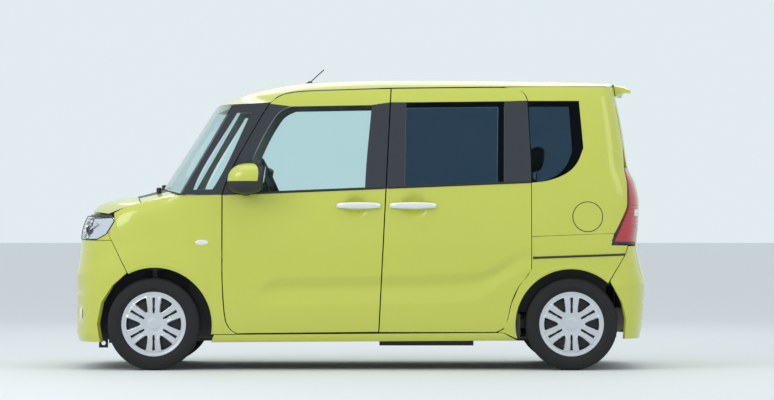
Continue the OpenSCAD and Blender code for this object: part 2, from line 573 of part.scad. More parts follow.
knuckle_half = 110;
strut_r = 22;
plate_r = 105;
module spindle(x) {
    translate([x, -wheel_y, wheel_z]) rotate([90, 0, 0]) {
        translate([0, 0, -kingpin_in]) cylinder(r = spindle_r, h = kingpin_in + hub_face - fit);
        translate([0, 0, -tyre_w/2 + 6]) cylinder(r = plate_r, h = 8);
    }
}
module knuckle_body() {
    color("dimgray") {
        spindle(x_fa);
        translate([x_fa, -kingpin_y, wheel_z - knuckle_half]) cylinder(r = strut_r, h = 2*knuckle_half);
    }
}
module knuckle_left() { knuckle_body(); }
module knuckle_right() { mirror([0, 1, 0]) knuckle_body(); }

// Engine bay: aprons with strut towers and tie-down hooks, subframe with arms and struts
apron_y = 396;
apron_t = 8;
tower_z = 800;
firewall_x = x_fa + 205;
well_x = x_fa + front_arch_r + 24;
shelf_z = 634;
module front_aprons() {
    hook = [x_fa - 318, 150];
    color("dimgray") both() difference() {
        union() {
            translate([x_fa - 345, -apron_y - apron_t, 172])
                cube([firewall_x - x_fa + 345 - 8 - seam, apron_t, tower_z - 172 + 12]);
            translate([x_fa - 110, 97.5 - half, tower_z]) cube([220, half - 97.5 - apron_y, 12]);
            translate([hook.x - 27, -apron_y - apron_t, hook.y - 27]) cube([54, apron_t, 60]);
        }
        translate([hook.x, -apron_y + 1, hook.y]) rotate([90, 0, 0]) cylinder(r = 13, h = apron_t + 2);
    }
}
beam_z = 234;
arm_z = wheel_z - knuckle_half - fit;
module front_subframe() {
    color("dimgray") {
        translate([x_fa - 60, -390, arm_z - 14]) cube([230, 780, beam_z - arm_z + 14]);
        both() translate([x_fa - 20, -kingpin_y - 8, arm_z - 14]) cube([40, kingpin_y + 8 - 380, 14]);
        both() translate([x_fa, -kingpin_y, 0]) {
            translate([0, 0, wheel_z + knuckle_half + fit])
                cylinder(r = strut_r, h = tower_z - wheel_z - knuckle_half - 2*fit);
            translate([0, 0, 585]) cylinder(r = 52, h = 175);
        }
    }
}
module engine_block() {
    color("gray") translate([x_fa - 270, -375, beam_z + fit]) cube([430, 750, 545]);
}
floor_t = 24;
sill_in = door_t + shut_gap + 45 + seam;
floor_y = section(sill_z) - sill_in + 7*seam;
riser_x = x_ra - 350;
load_z = 520;
load_y = 552;
module firewall() {
    t = 8;
    top = 960;
    under = floor_z - floor_t;
    color("dimgray") {
        translate([firewall_x - t, -apron_y - t, under]) cube([t, 2*(apron_y + t), top - under]);
        translate([firewall_x - t, -floor_y, shelf_z - t]) cube([t, 2*floor_y, top - shelf_z + t]);
        both() {
            translate([firewall_x - t, -apron_y - t, under])
                cube([well_x - firewall_x + t, t, shelf_z - under]);
            translate([well_x - t, -floor_y, under]) cube([t, floor_y - apron_y, shelf_z - under]);
            translate([firewall_x - t, -floor_y, shelf_z - t])
                cube([well_x - firewall_x + t, floor_y - apron_y, t]);
        }
    }
}
module floor_pan() {
    near = apron_y - seam;
    left = [[firewall_x + seam, -near], [well_x + seam, -near], [well_x + seam, -floor_y],
            [riser_x, -floor_y]];
    front = [each left, for (i = [len(left) - 1:-1:0]) [left[i].x, -left[i].y]];
    color("dimgray") {
        translate([0, 0, floor_z - floor_t]) linear_extrude(floor_t) polygon(front);
        translate([riser_x - floor_t, -load_y, 0]) {
            translate([0, 0, floor_z - floor_t]) cube([floor_t, 2*load_y, load_z - floor_z + floor_t]);
            translate([0, 0, load_z - floor_t]) cube([x_tail - 75 - riser_x + floor_t, 2*load_y, floor_t]);
        }
    }
}
liner_t = 6;
module liner(centre, r, inner_y, outer_y, from, to) {
    intersection() {
        translate([centre.x, -inner_y, centre.y]) rotate([90, 0, 0]) difference() {
            cylinder(r = r + liner_t, h = outer_y - inner_y);
            translate([0, 0, -1]) cylinder(r = r, h = outer_y - inner_y + 2);
        }
        translate([centre.x + from, -outer_y, centre.y]) cube([to - from, outer_y, 2*r]);
    }
}
liner_out = section(wheel_z) - wall - 1;
module wheel_wells() {
    color("black") both() {
        liner(arch_f, front_arch_r + 10, well_inner_f, liner_out, -145, 2*front_arch_r);
        liner(arch_r, rear_arch_r + 8, load_y + seam, liner_out, -2*rear_arch_r, 215);
        intersection() {
            translate([arch_r.x, -load_y - seam, arch_r.y]) rotate([90, 0, 0])
                cylinder(r = rear_arch_r + 8, h = liner_t);
            translate([arch_r.x - rear_arch_r, -half, arch_r.y + 70])
                cube([rear_arch_r + 215, half, rear_arch_r]);
        }
    }
}
well_inner_f = 645;
axle_x = x_ra - 95;
arm_front = riser_x + 8;
module rear_axle() {
    color("dimgray") {
        translate([axle_x, 0, wheel_z - 10]) rotate([90, 0, 0]) cylinder(r = 34, h = 1060, center = true);
        both() {
            spindle(x_ra);
            translate([arm_front, -kingpin_y - 4, wheel_z - 28]) cube([x_ra + 30 - arm_front, 40, 52]);
            translate([axle_x, -kingpin_y + 70, wheel_z])
                cylinder(r = 48, h = load_z - floor_t - fit - wheel_z);
            translate([arm_front, -kingpin_y - 4, wheel_z - 28])
                cube([44, 40, load_z - floor_t - fit - wheel_z + 28]);
        }
    }
}
pipe_r = 21;
pipe_z = floor_z - floor_t - pipe_r - 8;
muffler = [x_ra + 305, 280];
module exhaust() {
    y = 300;
    color("gray") {
        translate([x_fa + 200, y, pipe_z]) rotate([0, 90, 0])
            cylinder(r = pipe_r, h = muffler.x - x_fa - 200);
        translate([muffler.x, y - 330, muffler.y]) rotate([-90, 0, 0]) cylinder(r = 72, h = 430);
        translate([muffler.x, y, pipe_z]) cylinder(r = pipe_r, h = muffler.y - pipe_z);
        for (x = [x_b - 700, x_b + 560]) translate([x, y, pipe_z])
            cylinder(r = 8, h = floor_z - floor_t - fit - pipe_z);
        translate([muffler.x, y - 120, muffler.y]) cylinder(r = 8, h = load_z - floor_t - fit - muffler.y);
    }
}
module fuel_tank() {
    drop = 52;
    color("black") translate([x_b - 40, -470, floor_z - floor_t - fit - drop]) cube([560, 640, drop]);
}

// Cabin: profiles of [x, z] carried across the car
module profile(points, y, width) {
    translate([0, y + width/2, 0]) rotate([90, 0, 0]) linear_extrude(width) polygon(points);
}
wheel_at = [x_door + 270, 340, 1095];
column_tilt = 65;
column_r = 30;
hub_depth = 34;
module on_column() {
    translate(wheel_at) rotate([0, column_tilt, 0]) children();
}
module dashboard() {
    back = firewall_x + seam;
    color("darkslategray") {
        profile([[back, 650], [back + 230, 660], [back + 300, 760], [back + 318, 900], [back + 270, 985],
                 [back + 60, 1015], [back, 1000]], 0, 2*floor_y - 10);
        on_column() translate([0, 0, -280]) cylinder(r = column_r, h = 280 - hub_depth - fit);
    }
}
module steering_wheel() {
    grip = 15;
    r = steer_d/2 - grip;
    color("black") on_column() {
        rotate_extrude() translate([r, 0]) circle(grip, $fn = 32);
        translate([0, 0, -hub_depth]) cylinder(r = 62, h = hub_depth + 8);
        for (a = [0, 150, 210]) rotate(a) translate([40, -16, -9]) cube([r - 40, 32, 16]);
    }
}
// Seat profile: plinth, cushion, back and head restraint
function seat_profile(x, cushion_l, low, top, back_top, head_top) = [
    [x + 60, floor_z + fit], [x + cushion_l - 40, floor_z + fit], [x + cushion_l - 40, low],
    [x + cushion_l + 70, low], [x + cushion_l + 200, back_top], [x + cushion_l + 205, head_top],
    [x + cushion_l + 120, head_top], [x + cushion_l + 80, back_top], [x + cushion_l - 30, top],
    [x + 30, top + 30], [x, top - 10], [x + 10, top - 130]];
seat_x = x_door + 390;
rear_cushion_l = 440;
rear_seat_x = riser_x - floor_t - rear_cushion_l + 22;
module front_seats() {
    color("tan") both() profile(seat_profile(seat_x, 480, 520, 640, 1200, 1400), -seat_y, seat_w);
}
module rear_seat() {
    color("tan") profile(seat_profile(rear_seat_x, rear_cushion_l, load_z + 5, 620, 1130, 1330), 0, 2*load_y - 20);
}

mirror_x = x_door + 170;
mirror_z = belt_z + 62;
module mirror_left() {
    out = half_w(mirror_x, belt_z - 30) + seam;
    color("black") {
        translate([mirror_x - 40, -out - 62, belt_z - 30]) cube([80, 62, 34]);
        hull() for (y = [70, 175]) for (z = [-48, 44])
            translate([mirror_x - 8, -out - y, mirror_z + z]) sphere(r = 42, $fn = 20);
        translate([mirror_x - 8, -out - 70, belt_z - 14]) rotate([90, 0, 0])
            cylinder(r = 16, h = 30, center = true);
    }
}
module mirror_right() { mirror([0, 1, 0]) mirror_left(); }
module front_door_right() { mirror([0, 1, 0]) front_door_left(); }
module front_door_glass_right() { mirror([0, 1, 0]) front_door_glass_left(); }

antenna_x = x_b - 463;
antenna_l = 118;
module antenna() {
    middle = [for (row = roof_rows) [row[0], row[1]]];
    tilt = atan((lookup(antenna_x + 30, middle) - lookup(antenna_x - 30, middle))/60);
    color("black") translate([antenna_x, 0, lookup(antenna_x, middle) + fit]) rotate([0, -tilt, 0]) {
        cylinder(r1 = 24, r2 = 12, h = 14);
        translate([0, 0, 10]) rotate([0, 52, 0]) cylinder(r = 4, h = antenna_l);
    }
}
module wipers() {
    // Arm places: y, z
    arms = [[-420, belt_z - 2], [120, belt_z + 17]];
    color("black") for (arm = arms) translate([x_door - 396, arm[0], arm[1]]) {
        rotate([-90, 0, 0]) cylinder(r = 6, h = 400);
        translate([6, 0, -24]) cylinder(r = 9, h = 26);
    }
}
module rear_wiper() {
    z = gate_zs[pane_rows[0]] + 40;
    color("black") translate([tail_x(0, z) - glass_in + 7.2, -30, z]) {
        rotate([-90, 0, 0]) cylinder(r = 6, h = 330);
        rotate([0, 90, 0]) cylinder(r = 14, h = 14);
    }
}
// Plate holder in the bumper's mouth, with two fixing holes
holder_pitch = 210;
module plate_holder() {
    z0 = bumper_levels[intake[0]] + seam;
    z1 = bumper_levels[intake[1]] - seam;
    color("black") translate([x_nose + 8, 0, 0]) difference() {
        translate([0, -165, z0]) cube([8, 330, z1 - z0]);
        for (y = [-.5, .5]) translate([-1, y*holder_pitch, mix(z0, z1, .5)]) rotate([0, 90, 0])
            cylinder(r = 3.5, h = 10);
    }
}
// Hinge pins on the joint axes, each in the gap of its panel and cut flush with the skin
pin_r = shut_gap/2 - fit;
gate_pin = [roof_end + half_gap, roof_z - 20];
bonnet_pin = [bonnet_rear, belt_z - 42.5];
lid_pin_x = lid_at.x - lid_r - lid_gap/2;
module pin(r, h) {
    intersection() {
        cylinder(r = r, h = h);
        translate([-r, 0, 0]) cube([2*r, r, h]);
    }
}
module hinge_pins() {
    color("gray") {
        both() for (z = [580, 660]) translate([x_door, -half, z]) pin(pin_r, 50);
        both() translate([gate_pin.x, -80, gate_pin.y]) rotate([-90, 0, 0]) pin(pin_r, 60);
        both() translate([bonnet_pin.x, -44, bonnet_pin.y]) rotate([-90, 0, 0]) pin(pin_r, 40);
        translate([lid_pin_x, -half_w(lid_pin_x, lid_at.y), lid_at.y - 8]) pin(lid_gap/2 - 2*fit, 16);
    }
}

roof();
a_pillars();
b_pillars();
sills();
quarter_upper();
quarter_lower();
front_fenders();
front_bumper();
rear_bumper();
grille();
cowl();
windscreen();
side_glass();
sliding_doors();
headlamps();
tail_lamps();
wipers();
antenna();
plate_holder();
hinge_pins();
floor_pan();
firewall();
front_aprons();
wheel_wells();
front_subframe();
engine_block();
rear_axle();
exhaust();
fuel_tank();
dashboard();
front_seats();
rear_seat();
steering_wheel();
front_door_left();
front_door_right();
front_door_glass_left();
front_door_glass_right();
mirror_left();
mirror_right();
bonnet();
tailgate();
tailgate_glass();
rear_spoiler();
rear_wiper();
fuel_lid();
knuckle_left();
knuckle_right();
tyre_front_left();
tyre_front_right();
tyre_rear_left();
tyre_rear_right();
rim_front_left();
rim_front_right();
rim_rear_left();
rim_rear_right();
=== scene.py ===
"""Kei car, tall box wagon: the skins, glass, lamps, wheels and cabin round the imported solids."""

import math

import bpy
import numpy as np
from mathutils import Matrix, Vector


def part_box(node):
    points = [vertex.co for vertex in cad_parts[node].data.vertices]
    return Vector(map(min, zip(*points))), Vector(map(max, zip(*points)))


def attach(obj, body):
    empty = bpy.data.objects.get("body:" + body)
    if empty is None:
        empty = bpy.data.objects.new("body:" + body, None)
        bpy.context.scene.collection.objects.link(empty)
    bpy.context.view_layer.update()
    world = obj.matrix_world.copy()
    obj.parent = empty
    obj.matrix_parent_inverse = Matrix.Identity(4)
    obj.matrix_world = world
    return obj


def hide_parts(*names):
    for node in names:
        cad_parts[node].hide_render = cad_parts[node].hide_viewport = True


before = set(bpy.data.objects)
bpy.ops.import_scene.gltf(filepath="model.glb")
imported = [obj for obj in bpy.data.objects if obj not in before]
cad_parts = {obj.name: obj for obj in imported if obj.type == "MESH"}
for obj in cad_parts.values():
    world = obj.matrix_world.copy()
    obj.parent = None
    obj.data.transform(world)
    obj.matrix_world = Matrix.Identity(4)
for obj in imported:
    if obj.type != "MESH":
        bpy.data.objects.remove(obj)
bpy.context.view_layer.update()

# Sizes of the body in millimetres, as in the solids
HALF, LENGTH = 737.5, 3395.0
X_NOSE, X_TAIL = -LENGTH/2, LENGTH/2
X_FRONT_AXLE, X_REAR_AXLE = -1213.5, 1246.5
X_DOOR, X_B, X_C = -810.5, 154.5, 1010.5
SILL, DOOR_FOOT, BELT, WINDOW_TOP, RAIL, ROOF = 165.0, 214.0, 1070.0, 1579.0, 1663.0, 1722.0
FRONT_ARCH, REAR_ARCH = (-1207.5, 268.0, 337.0), (1242.5, 270.0, 326.0)
X_ROUND_F, X_ROUND_R, ROUND_F, ROUND_R = -1150.5, 1299.5, 4.0, 5.0
GAP, WALL, DOOR_T, GLASS_IN, GLASS_T = 3.5, 40.0, 62.0, 8.0, 5.0
WHEEL_Y, WHEEL_Z, TYRE_W, RIM_R = 648.0, 272.0, 155.0, 190.0
BELT_RISE, PILLAR_LEAN, JOINT_RISE = 0.0406, 0.0505, 0.0375
CREASE_DEEP, CUP_DEEP, CUP_Z, GRIP_Z = 18, 26, 966, 970
LID_X, LID_Z, LID_R = 1340.5, 904.0, 85.0
CLOTH_CELL, CLOTH_FRAMES = .012, 20


def through(*pairs):
    """Smooth line through (a, b) pairs: a cubic on each stretch whose end slopes are the harmonic
    mean of the two chords there, so that it never swings past a point."""
    a, b = np.array(pairs, float).T
    h = np.diff(a)
    d = np.diff(b)/h
    m = np.concatenate([d[:1], np.zeros(len(a) - 2), d[-1:]])
    left, right = d[:-1], d[1:]
    bends = left*right > 0
    w1, w2 = 2*h[1:] + h[:-1], h[1:] + 2*h[:-1]
    safe = np.where(bends, left*right, 1.0)
    m[1:-1] = np.where(bends, (w1 + w2)*safe/np.where(bends, w1*right + w2*left, 1.0), 0.0)

    def at(t):
        """Height of the line at t, held level past both ends."""
        t = np.clip(np.asarray(t, float), a[0], a[-1])
        i = np.clip(np.searchsorted(a, t, side="right") - 1, 0, len(h) - 1)
        s = (t - a[i])/h[i]
        return (b[i]*(1 + 2*s)*(1 - s)**2 + m[i]*h[i]*s*(1 - s)**2
                + b[i + 1]*s*s*(3 - 2*s) + m[i + 1]*h[i]*s*s*(s - 1))
    return at


def straight(*pairs):
    """Straight stretches through (a, b) pairs."""
    a, b = np.array(pairs, float).T
    return lambda t: np.interp(t, a, b)


def step(lo, hi, t):
    """Soft step from 0 at lo to 1 at hi."""
    s = np.clip((np.asarray(t, float) - lo)/(hi - lo), 0, 1)
    return s*s*(3 - 2*s)


def mix(a, b, f):
    """Straight blend from a to b by the share f."""
    return a + (b - a)*f


section_share = through((0, .95), (SILL, .966), (300, .99), (520, 1), (720, 1), (900, .992), (BELT, .975),
                        (WINDOW_TOP, .868), (RAIL, .832), (ROOF, .79))
nose_back = through((SILL, 12), (215, 0), (560, 0), (640, 12), (740, 22), (800, 26), (863, 42), (903, 61),
                    (928, 76), (953, 92), (1000, 180))
tail_back = through((SILL, 30), (306, 7), (525, 0), (610, 21), (740, 46), (866, 34), (985, 30), (1093, 48),
                    (1200, 97), (1343, 117), (1502, 144), (1610, 168), (ROOF, 182))


def section(z):
    """Half width of the middle of the body at a height."""
    return HALF*section_share(z)


def nose(z):
    """Foremost station at a height."""
    return X_NOSE + nose_back(z)


def tail(z):
    """Rearmost station at a height."""
    return X_TAIL - tail_back(z)


def bow(reach, n):
    """Share of the half width left at a share of the way into a rounded end."""
    return (1 - np.clip(reach, 0, 1)**n)**(1/n)


def half_width(x, z):
    """Half width of the skin: the section, narrowed by a bow towards either end."""
    return (section(z)*bow((X_ROUND_F - x)/(X_ROUND_F - nose(z)), ROUND_F)
            * bow((x - X_ROUND_R)/(tail(z) - X_ROUND_R), ROUND_R))


def set_in(p, depth):
    """Points moved square to the skin, inwards, by a depth: the gradient of the plan curve."""
    x, y, z = p[..., 0], p[..., 1], p[..., 2]
    rear = x > X_ROUND_R
    n = np.where(rear, ROUND_R, ROUND_F)
    start = np.where(rear, X_ROUND_R, X_ROUND_F)
    reach = np.where(rear, tail(z) - start, nose(z) - start)
    gx = np.clip((x - start)/reach, 0, 1)**(n - 1)/reach
    gy = np.sign(y)*np.clip(np.abs(y)/section(z), 0, 1)**(n - 1)/section(z)
    size = np.hypot(gx, gy)
    move = -np.stack([gx/size, gy/size, np.zeros_like(gx)], -1)
    return p + np.asarray(depth, float)[..., None]*move


def side(x, z, depth=0.0):
    """Points of the left skin at stations x and heights z."""
    x, z = np.broadcast_arrays(np.asarray(x, float), np.asarray(z, float))
    return set_in(np.stack([x, -half_width(x, z), z], -1), np.broadcast_to(depth, x.shape))


def nose_skin(y, z, depth=0.0):
    """Points of the nose at half widths y and heights z: the same bow, solved for the station."""
    y, z = np.broadcast_arrays(np.asarray(y, float), np.asarray(z, float))
    x = X_ROUND_F - (X_ROUND_F - nose(z))*bow(np.abs(y)/section(z), ROUND_F)
    return set_in(np.stack([x, y, z], -1), np.broadcast_to(depth, y.shape))


def tail_x(y, z):
    """Station of the tail at half widths y and heights z."""
    return X_ROUND_R + (tail(z) - X_ROUND_R)*bow(np.abs(y)/section(z), ROUND_R)


def tail_skin(y, z, depth=0.0):
    """Points of the tail at half widths y and heights z."""
    y, z = np.broadcast_arrays(np.asarray(y, float), np.asarray(z, float))
    return set_in(np.stack([tail_x(y, z), y, z], -1), np.broadcast_to(depth, y.shape))


def belt(x):
    """Height of the belt line, which rises evenly to the rear."""
    return BELT + BELT_RISE*(x - X_B)


def pillar_b(z):
    """Station of the seam between the doors, which leans to the rear."""
    return X_B + (z - BELT)*PILLAR_LEAN


# Pressed-in flank of the doors: crease line above, lower edge below
crease_z = through((-640, 430), (-560, 512), (-487, 545), (1, 553), (722, 585), (934, 692), (1015, 716))
flank_z = through((-640, 380), (-560, 374), (1, 391), (616, 403), (840, 520), (1015, 640))


def flank(x, z):
    """Depth of the pressed-in flank: from the crease it falls quickly to its deepest line at a third
    of the height, then comes out evenly, and it fades towards both ends. Round cups lie behind the
    pull handles."""
    top, foot = crease_z(x), flank_z(x)
    t = (top - z)/(top - foot)
    fall = np.clip(t/.34, 0, 1)
    rise = 1 - np.clip((t - .46)/.56, 0, 1)
    ends = step(-650, -470, x)*(1 - .75*step(780, 1015, x))*(1 - step(1015, 1060, x))
    cups = sum(np.exp(-(np.hypot(x - a, z - CUP_Z)/w)**4) for a, w in ((-23, 58), (320, 66)))
    return CREASE_DEEP*ends*np.where(t < 0, 0, fall*rise) + CUP_DEEP*cups


def flare(x, z):
    """Swell round the front arch: full near the arch, gone half a metre from the hub and at the door."""
    reach = np.hypot(x - X_FRONT_AXLE, z - WHEEL_Z)
    return 9*(1 - step(385, 525, reach))*(1 - step(-985, -870, x))


def shell_part(outer, inner, keep=None, outer_mat=0, inner_mat=0, wall_mat=0):
    """Closed shell between two grids of points: both grids' faces, and a wall wherever a kept cell
    has no kept neighbour, in its cell's own finish unless one is named. Columns times rows point
    outwards."""
    v, u = outer.shape[:2]
    keep = np.ones((v - 1, u - 1), bool) if keep is None else keep
    ids = np.arange(2*v*u).reshape(2, v, u)
    o = [ids[0, :-1, :-1], ids[0, :-1, 1:], ids[0, 1:, 1:], ids[0, 1:, :-1]]
    i = [ids[1, :-1, :-1], ids[1, :-1, 1:], ids[1, 1:, 1:], ids[1, 1:, :-1]]
    edge = np.pad(keep, 1)
    walls = [(keep & ~edge[:-2, 1:-1], (o[0], i[0], i[1], o[1])),
             (keep & ~edge[2:, 1:-1], (o[3], o[2], i[2], i[3])),
             (keep & ~edge[1:-1, :-2], (o[0], o[3], i[3], i[0])),
             (keep & ~edge[1:-1, 2:], (o[1], i[1], i[2], o[2]))]
    quads = [np.stack(o, -1)[keep], np.stack([i[0], i[3], i[2], i[1]], -1)[keep]]
    mats = [np.broadcast_to(outer_mat, keep.shape)[keep], np.full(keep.sum(), inner_mat)]
    for where, ring in walls:
        quads.append(np.stack(ring, -1)[where])
        mats.append(np.broadcast_to(outer_mat if wall_mat is None else wall_mat, keep.shape)[where])
    points = np.concatenate([outer.reshape(-1, 3), inner.reshape(-1, 3)])
    return points, np.concatenate(quads), np.concatenate(mats)


def skin_part(grid, mat=0, around=False):
    """Open surface on a grid of points, closed round its columns where asked."""
    v, u = grid.shape[:2]
    ids = np.arange(v*u).reshape(v, u)
    if around:
        ids = np.concatenate([ids, ids[:, :1]], 1)
    quads = np.stack([ids[:-1, :-1], ids[:-1, 1:], ids[1:, 1:], ids[1:, :-1]], -1).reshape(-1, 4)
    return grid.reshape(-1, 3), quads, np.broadcast_to(mat, (v - 1, ids.shape[1] - 1)).reshape(-1)


def mirrored(part):
    """The part on the other side of the car, its faces turned round to point outwards again."""
    points, quads, mats = part
    return points*[1, -1, 1], quads[:, ::-1], mats


def crossed(part):
    """Points taken to the other side with the faces' order kept, for grids whose columns run inwards."""
    points, quads, mats = part
    return points*[1, -1, 1], quads, mats


def both(part):
    """The part and its mirror image."""
    return [part, mirrored(part)]


def as_drawn(part):
    """The part as it is, for the left side."""
    return part


def shifted(part, places):
    """Copies of a part at several places."""
    points, quads, mats = part
    places = np.asarray(places, float).reshape(-1, 3)
    n = len(places)
    return ((points[None] + places[:, None]).reshape(-1, 3),
            (quads[None] + (np.arange(n)*len(points))[:, None, None]).reshape(-1, 4), np.tile(mats, n))


def piece(name, parts, finishes, body="root", stands_for=(), bevel=0.0, crisp=38):
    """One object from parts of points, faces of four and finish numbers, with unused and doubled
    points dropped, smooth faces and sharp edges by angle."""
    counts = np.cumsum([0] + [len(p[0]) for p in parts])
    points = np.concatenate([p[0] for p in parts])/1000
    quads = np.concatenate([p[1] + c for p, c in zip(parts, counts)])
    mats = np.concatenate([p[2] for p in parts])
    key, back = np.unique(np.round(points, 6), axis=0, return_inverse=True)
    quads = back.reshape(-1)[quads]
    same = np.roll(quads, -1, 1) == quads
    tris = same.sum(1) == 1
    full = same.sum(1) == 0
    three = quads[tris][~same[tris]].reshape(-1, 3)
    loops = np.concatenate([quads[full].reshape(-1), three.reshape(-1)])
    sizes = np.concatenate([np.full(full.sum(), 4), np.full(tris.sum(), 3)])
    used, loops = np.unique(loops, return_inverse=True)
    mesh = bpy.data.meshes.new(name)
    mesh.vertices.add(len(used))
    mesh.vertices.foreach_set("co", key[used].astype(np.float32).reshape(-1))
    mesh.loops.add(len(loops))
    mesh.loops.foreach_set("vertex_index", loops.reshape(-1).astype(np.int32))
    mesh.polygons.add(len(sizes))
    mesh.polygons.foreach_set("loop_start", (np.cumsum(sizes) - sizes).astype(np.int32))
    mesh.polygons.foreach_set("material_index", np.concatenate([mats[full], mats[tris]]).astype(np.int32))
    for finish in finishes:
        mesh.materials.append(finish)
    mesh.update(calc_edges=True)
    mesh.validate()
    mesh.shade_smooth()
    mesh.set_sharp_from_angle(angle=math.radians(crisp))
    obj = bpy.data.objects.new(name, mesh)
    bpy.context.scene.collection.objects.link(obj)
    if bevel:
        edge = obj.modifiers.new("hem", "BEVEL")
        edge.width = bevel/1000
        edge.segments = 2
        edge.limit_method = "ANGLE"
        edge.angle_limit = math.radians(50)
        edge.harden_normals = True
    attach(obj, body)
    if stands_for:
        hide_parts(*stands_for)
    return obj


def plate(x, z, near, far):
    """Closed plate on the left skin between two depths."""
    return shell_part(side(x, z, near), side(x, z, far))


def nose_plate(y, z, near, far):
    """Closed plate on the nose between two depths."""
    return shell_part(nose_skin(y, z, near), nose_skin(y, z, far))


def tube_part(path, radius, sides=12, mat=0, closed=False, flat=1.0):
    """Tube along a path of points: rings square to the path, carried along with little twist, with
    their width multiplied by `flat`. Open ends close to a point."""
    path = np.asarray(path, float)
    ahead = np.roll(path, -1, 0) - np.roll(path, 1, 0) if closed else np.gradient(path, axis=0)
    ahead /= np.linalg.norm(ahead, axis=1, keepdims=True)
    guide = np.array([0, 0, 1.0]) if abs(ahead[:, 2]).mean() < .8 else np.array([1.0, 0, 0])
    across = np.cross(ahead, guide)
    across /= np.linalg.norm(across, axis=1, keepdims=True)
    up = np.cross(across, ahead)
    a = np.linspace(0, 2*np.pi, sides, endpoint=False)
    radius = np.broadcast_to(radius, len(path))[:, None, None]
    rings = path[:, None] + radius*(flat*np.cos(a)[None, :, None]*across[:, None]
                                    + np.sin(a)[None, :, None]*up[:, None])
    if closed:
        rings = np.concatenate([rings, rings[:1]])
    else:
        rings = np.concatenate([np.repeat(path[:1, None], sides, 1), rings,
                                np.repeat(path[-1:, None], sides, 1)])
    return skin_part(rings[:, ::-1], mat, around=True)


def turned_part(profile, turns=48, mat=0, axis="z", at=(0, 0, 0)):
    """Surface of revolution: a profile of (radius, height) points swept round an axis, taken in the
    order that runs up its outer side."""
    profile = np.asarray(profile, float)
    after = np.roll(profile, -1, axis=0)
    if np.sum(profile[:, 0]*after[:, 1] - after[:, 0]*profile[:, 1]) < 0:
        profile = profile[::-1]
    a = np.linspace(0, 2*np.pi, turns, endpoint=False)
    r, h = profile[:, 0][:, None], profile[:, 1][:, None]
    grid = np.stack([r*np.cos(a), r*np.sin(a), np.broadcast_to(h, (len(profile), turns))], -1)
    grid = {"z": grid, "-y": grid[..., [0, 2, 1]]*[1, -1, 1], "-x": grid[..., [2, 0, 1]]*[-1, -1, 1],
            "x": grid[..., [2, 0, 1]]}[axis]
    return skin_part(grid + np.asarray(at, float), mat, around=True)


def finish(name, colour, rough=.5, metal=0.0, coat=0.0, glass=0.0, ior=1.5, sheen=0.0, fleck=0.0, grain=0.0,
           grain_size=400.0, mottle=0.0, mottle_size=6.0, wear=0.0, weave=0.0, brushed=0.0):
    """Finish from one shader. Fine noise lifts the surface as grain, broad noise shifts the colour as
    mottle, flecks brighten the paint, crossed waves make a weave, and wear dulls it in patches."""
    mat = bpy.data.materials.new(name)
    mat.use_nodes = True
    nodes, links = mat.node_tree.nodes, mat.node_tree.links
    shader = nodes["Principled BSDF"]
    for socket, value in {"Base Color": (*colour, 1), "Roughness": rough, "Metallic": metal,
                          "Coat Weight": coat, "Coat Roughness": .03, "Transmission Weight": glass,
                          "IOR": ior, "Sheen Weight": sheen}.items():
        shader.inputs[socket].default_value = value
    spot = nodes.new("ShaderNodeTexCoord")

    def noise(size, detail=3.0, stretch=None):
        """Noise on the piece's own coordinates, drawn out along the axes where asked."""
        tex = nodes.new("ShaderNodeTexNoise")
        tex.inputs["Scale"].default_value = size
        tex.inputs["Detail"].default_value = detail
        source = spot.outputs["Object"]
        if stretch:
            turn = nodes.new("ShaderNodeMapping")
            turn.inputs["Scale"].default_value = stretch
            links.new(source, turn.inputs["Vector"])
            source = turn.outputs["Vector"]
        links.new(source, tex.inputs["Vector"])
        return tex.outputs["Fac"]

    def spread(value, lo, hi):
        """A share from 0 to 1 spread over the band from lo to hi."""
        band = nodes.new("ShaderNodeMapRange")
        band.inputs["To Min"].default_value = lo
        band.inputs["To Max"].default_value = hi
        links.new(value, band.inputs["Value"])
        return band.outputs["Result"]

    if mottle or fleck:
        tint = nodes.new("ShaderNodeHueSaturation")
        tint.inputs["Color"].default_value = (*colour, 1)
        value = spread(noise(mottle_size), 1 - mottle, 1 + mottle)
        if fleck:
            both = nodes.new("ShaderNodeMath")
            both.operation = "MULTIPLY"
            links.new(value, both.inputs[0])
            links.new(spread(noise(2200, 0), 1 - fleck, 1 + fleck), both.inputs[1])
            value = both.outputs[0]
        links.new(value, tint.inputs["Value"])
        links.new(tint.outputs["Color"], shader.inputs["Base Color"])
    if wear:
        links.new(spread(noise(9, 6), max(rough - wear, .01), rough + wear), shader.inputs["Roughness"])
    height = None
    if weave:
        wave = [nodes.new("ShaderNodeTexWave") for _ in range(2)]
        for tex, axis in zip(wave, ("Y", "DIAGONAL")):
            tex.bands_direction = axis
            tex.inputs["Scale"].default_value = weave
            tex.inputs["Distortion"].default_value = .4
            links.new(spot.outputs["Object"], tex.inputs["Vector"])
        cross = nodes.new("ShaderNodeMath")
        cross.operation = "MULTIPLY"
        links.new(wave[0].outputs["Fac"], cross.inputs[0])
        links.new(wave[1].outputs["Fac"], cross.inputs[1])
        height = cross.outputs[0]
    elif brushed:
        height = noise(60, 2, (brushed, 1, 1))
    elif grain:
        height = noise(grain_size, 4)
    if height:
        bump = nodes.new("ShaderNodeBump")
        bump.inputs["Strength"].default_value = grain or .3
        bump.inputs["Distance"].default_value = .0006
        links.new(height, bump.inputs["Height"])
        links.new(bump.outputs["Normal"], shader.inputs["Normal"])
    return mat


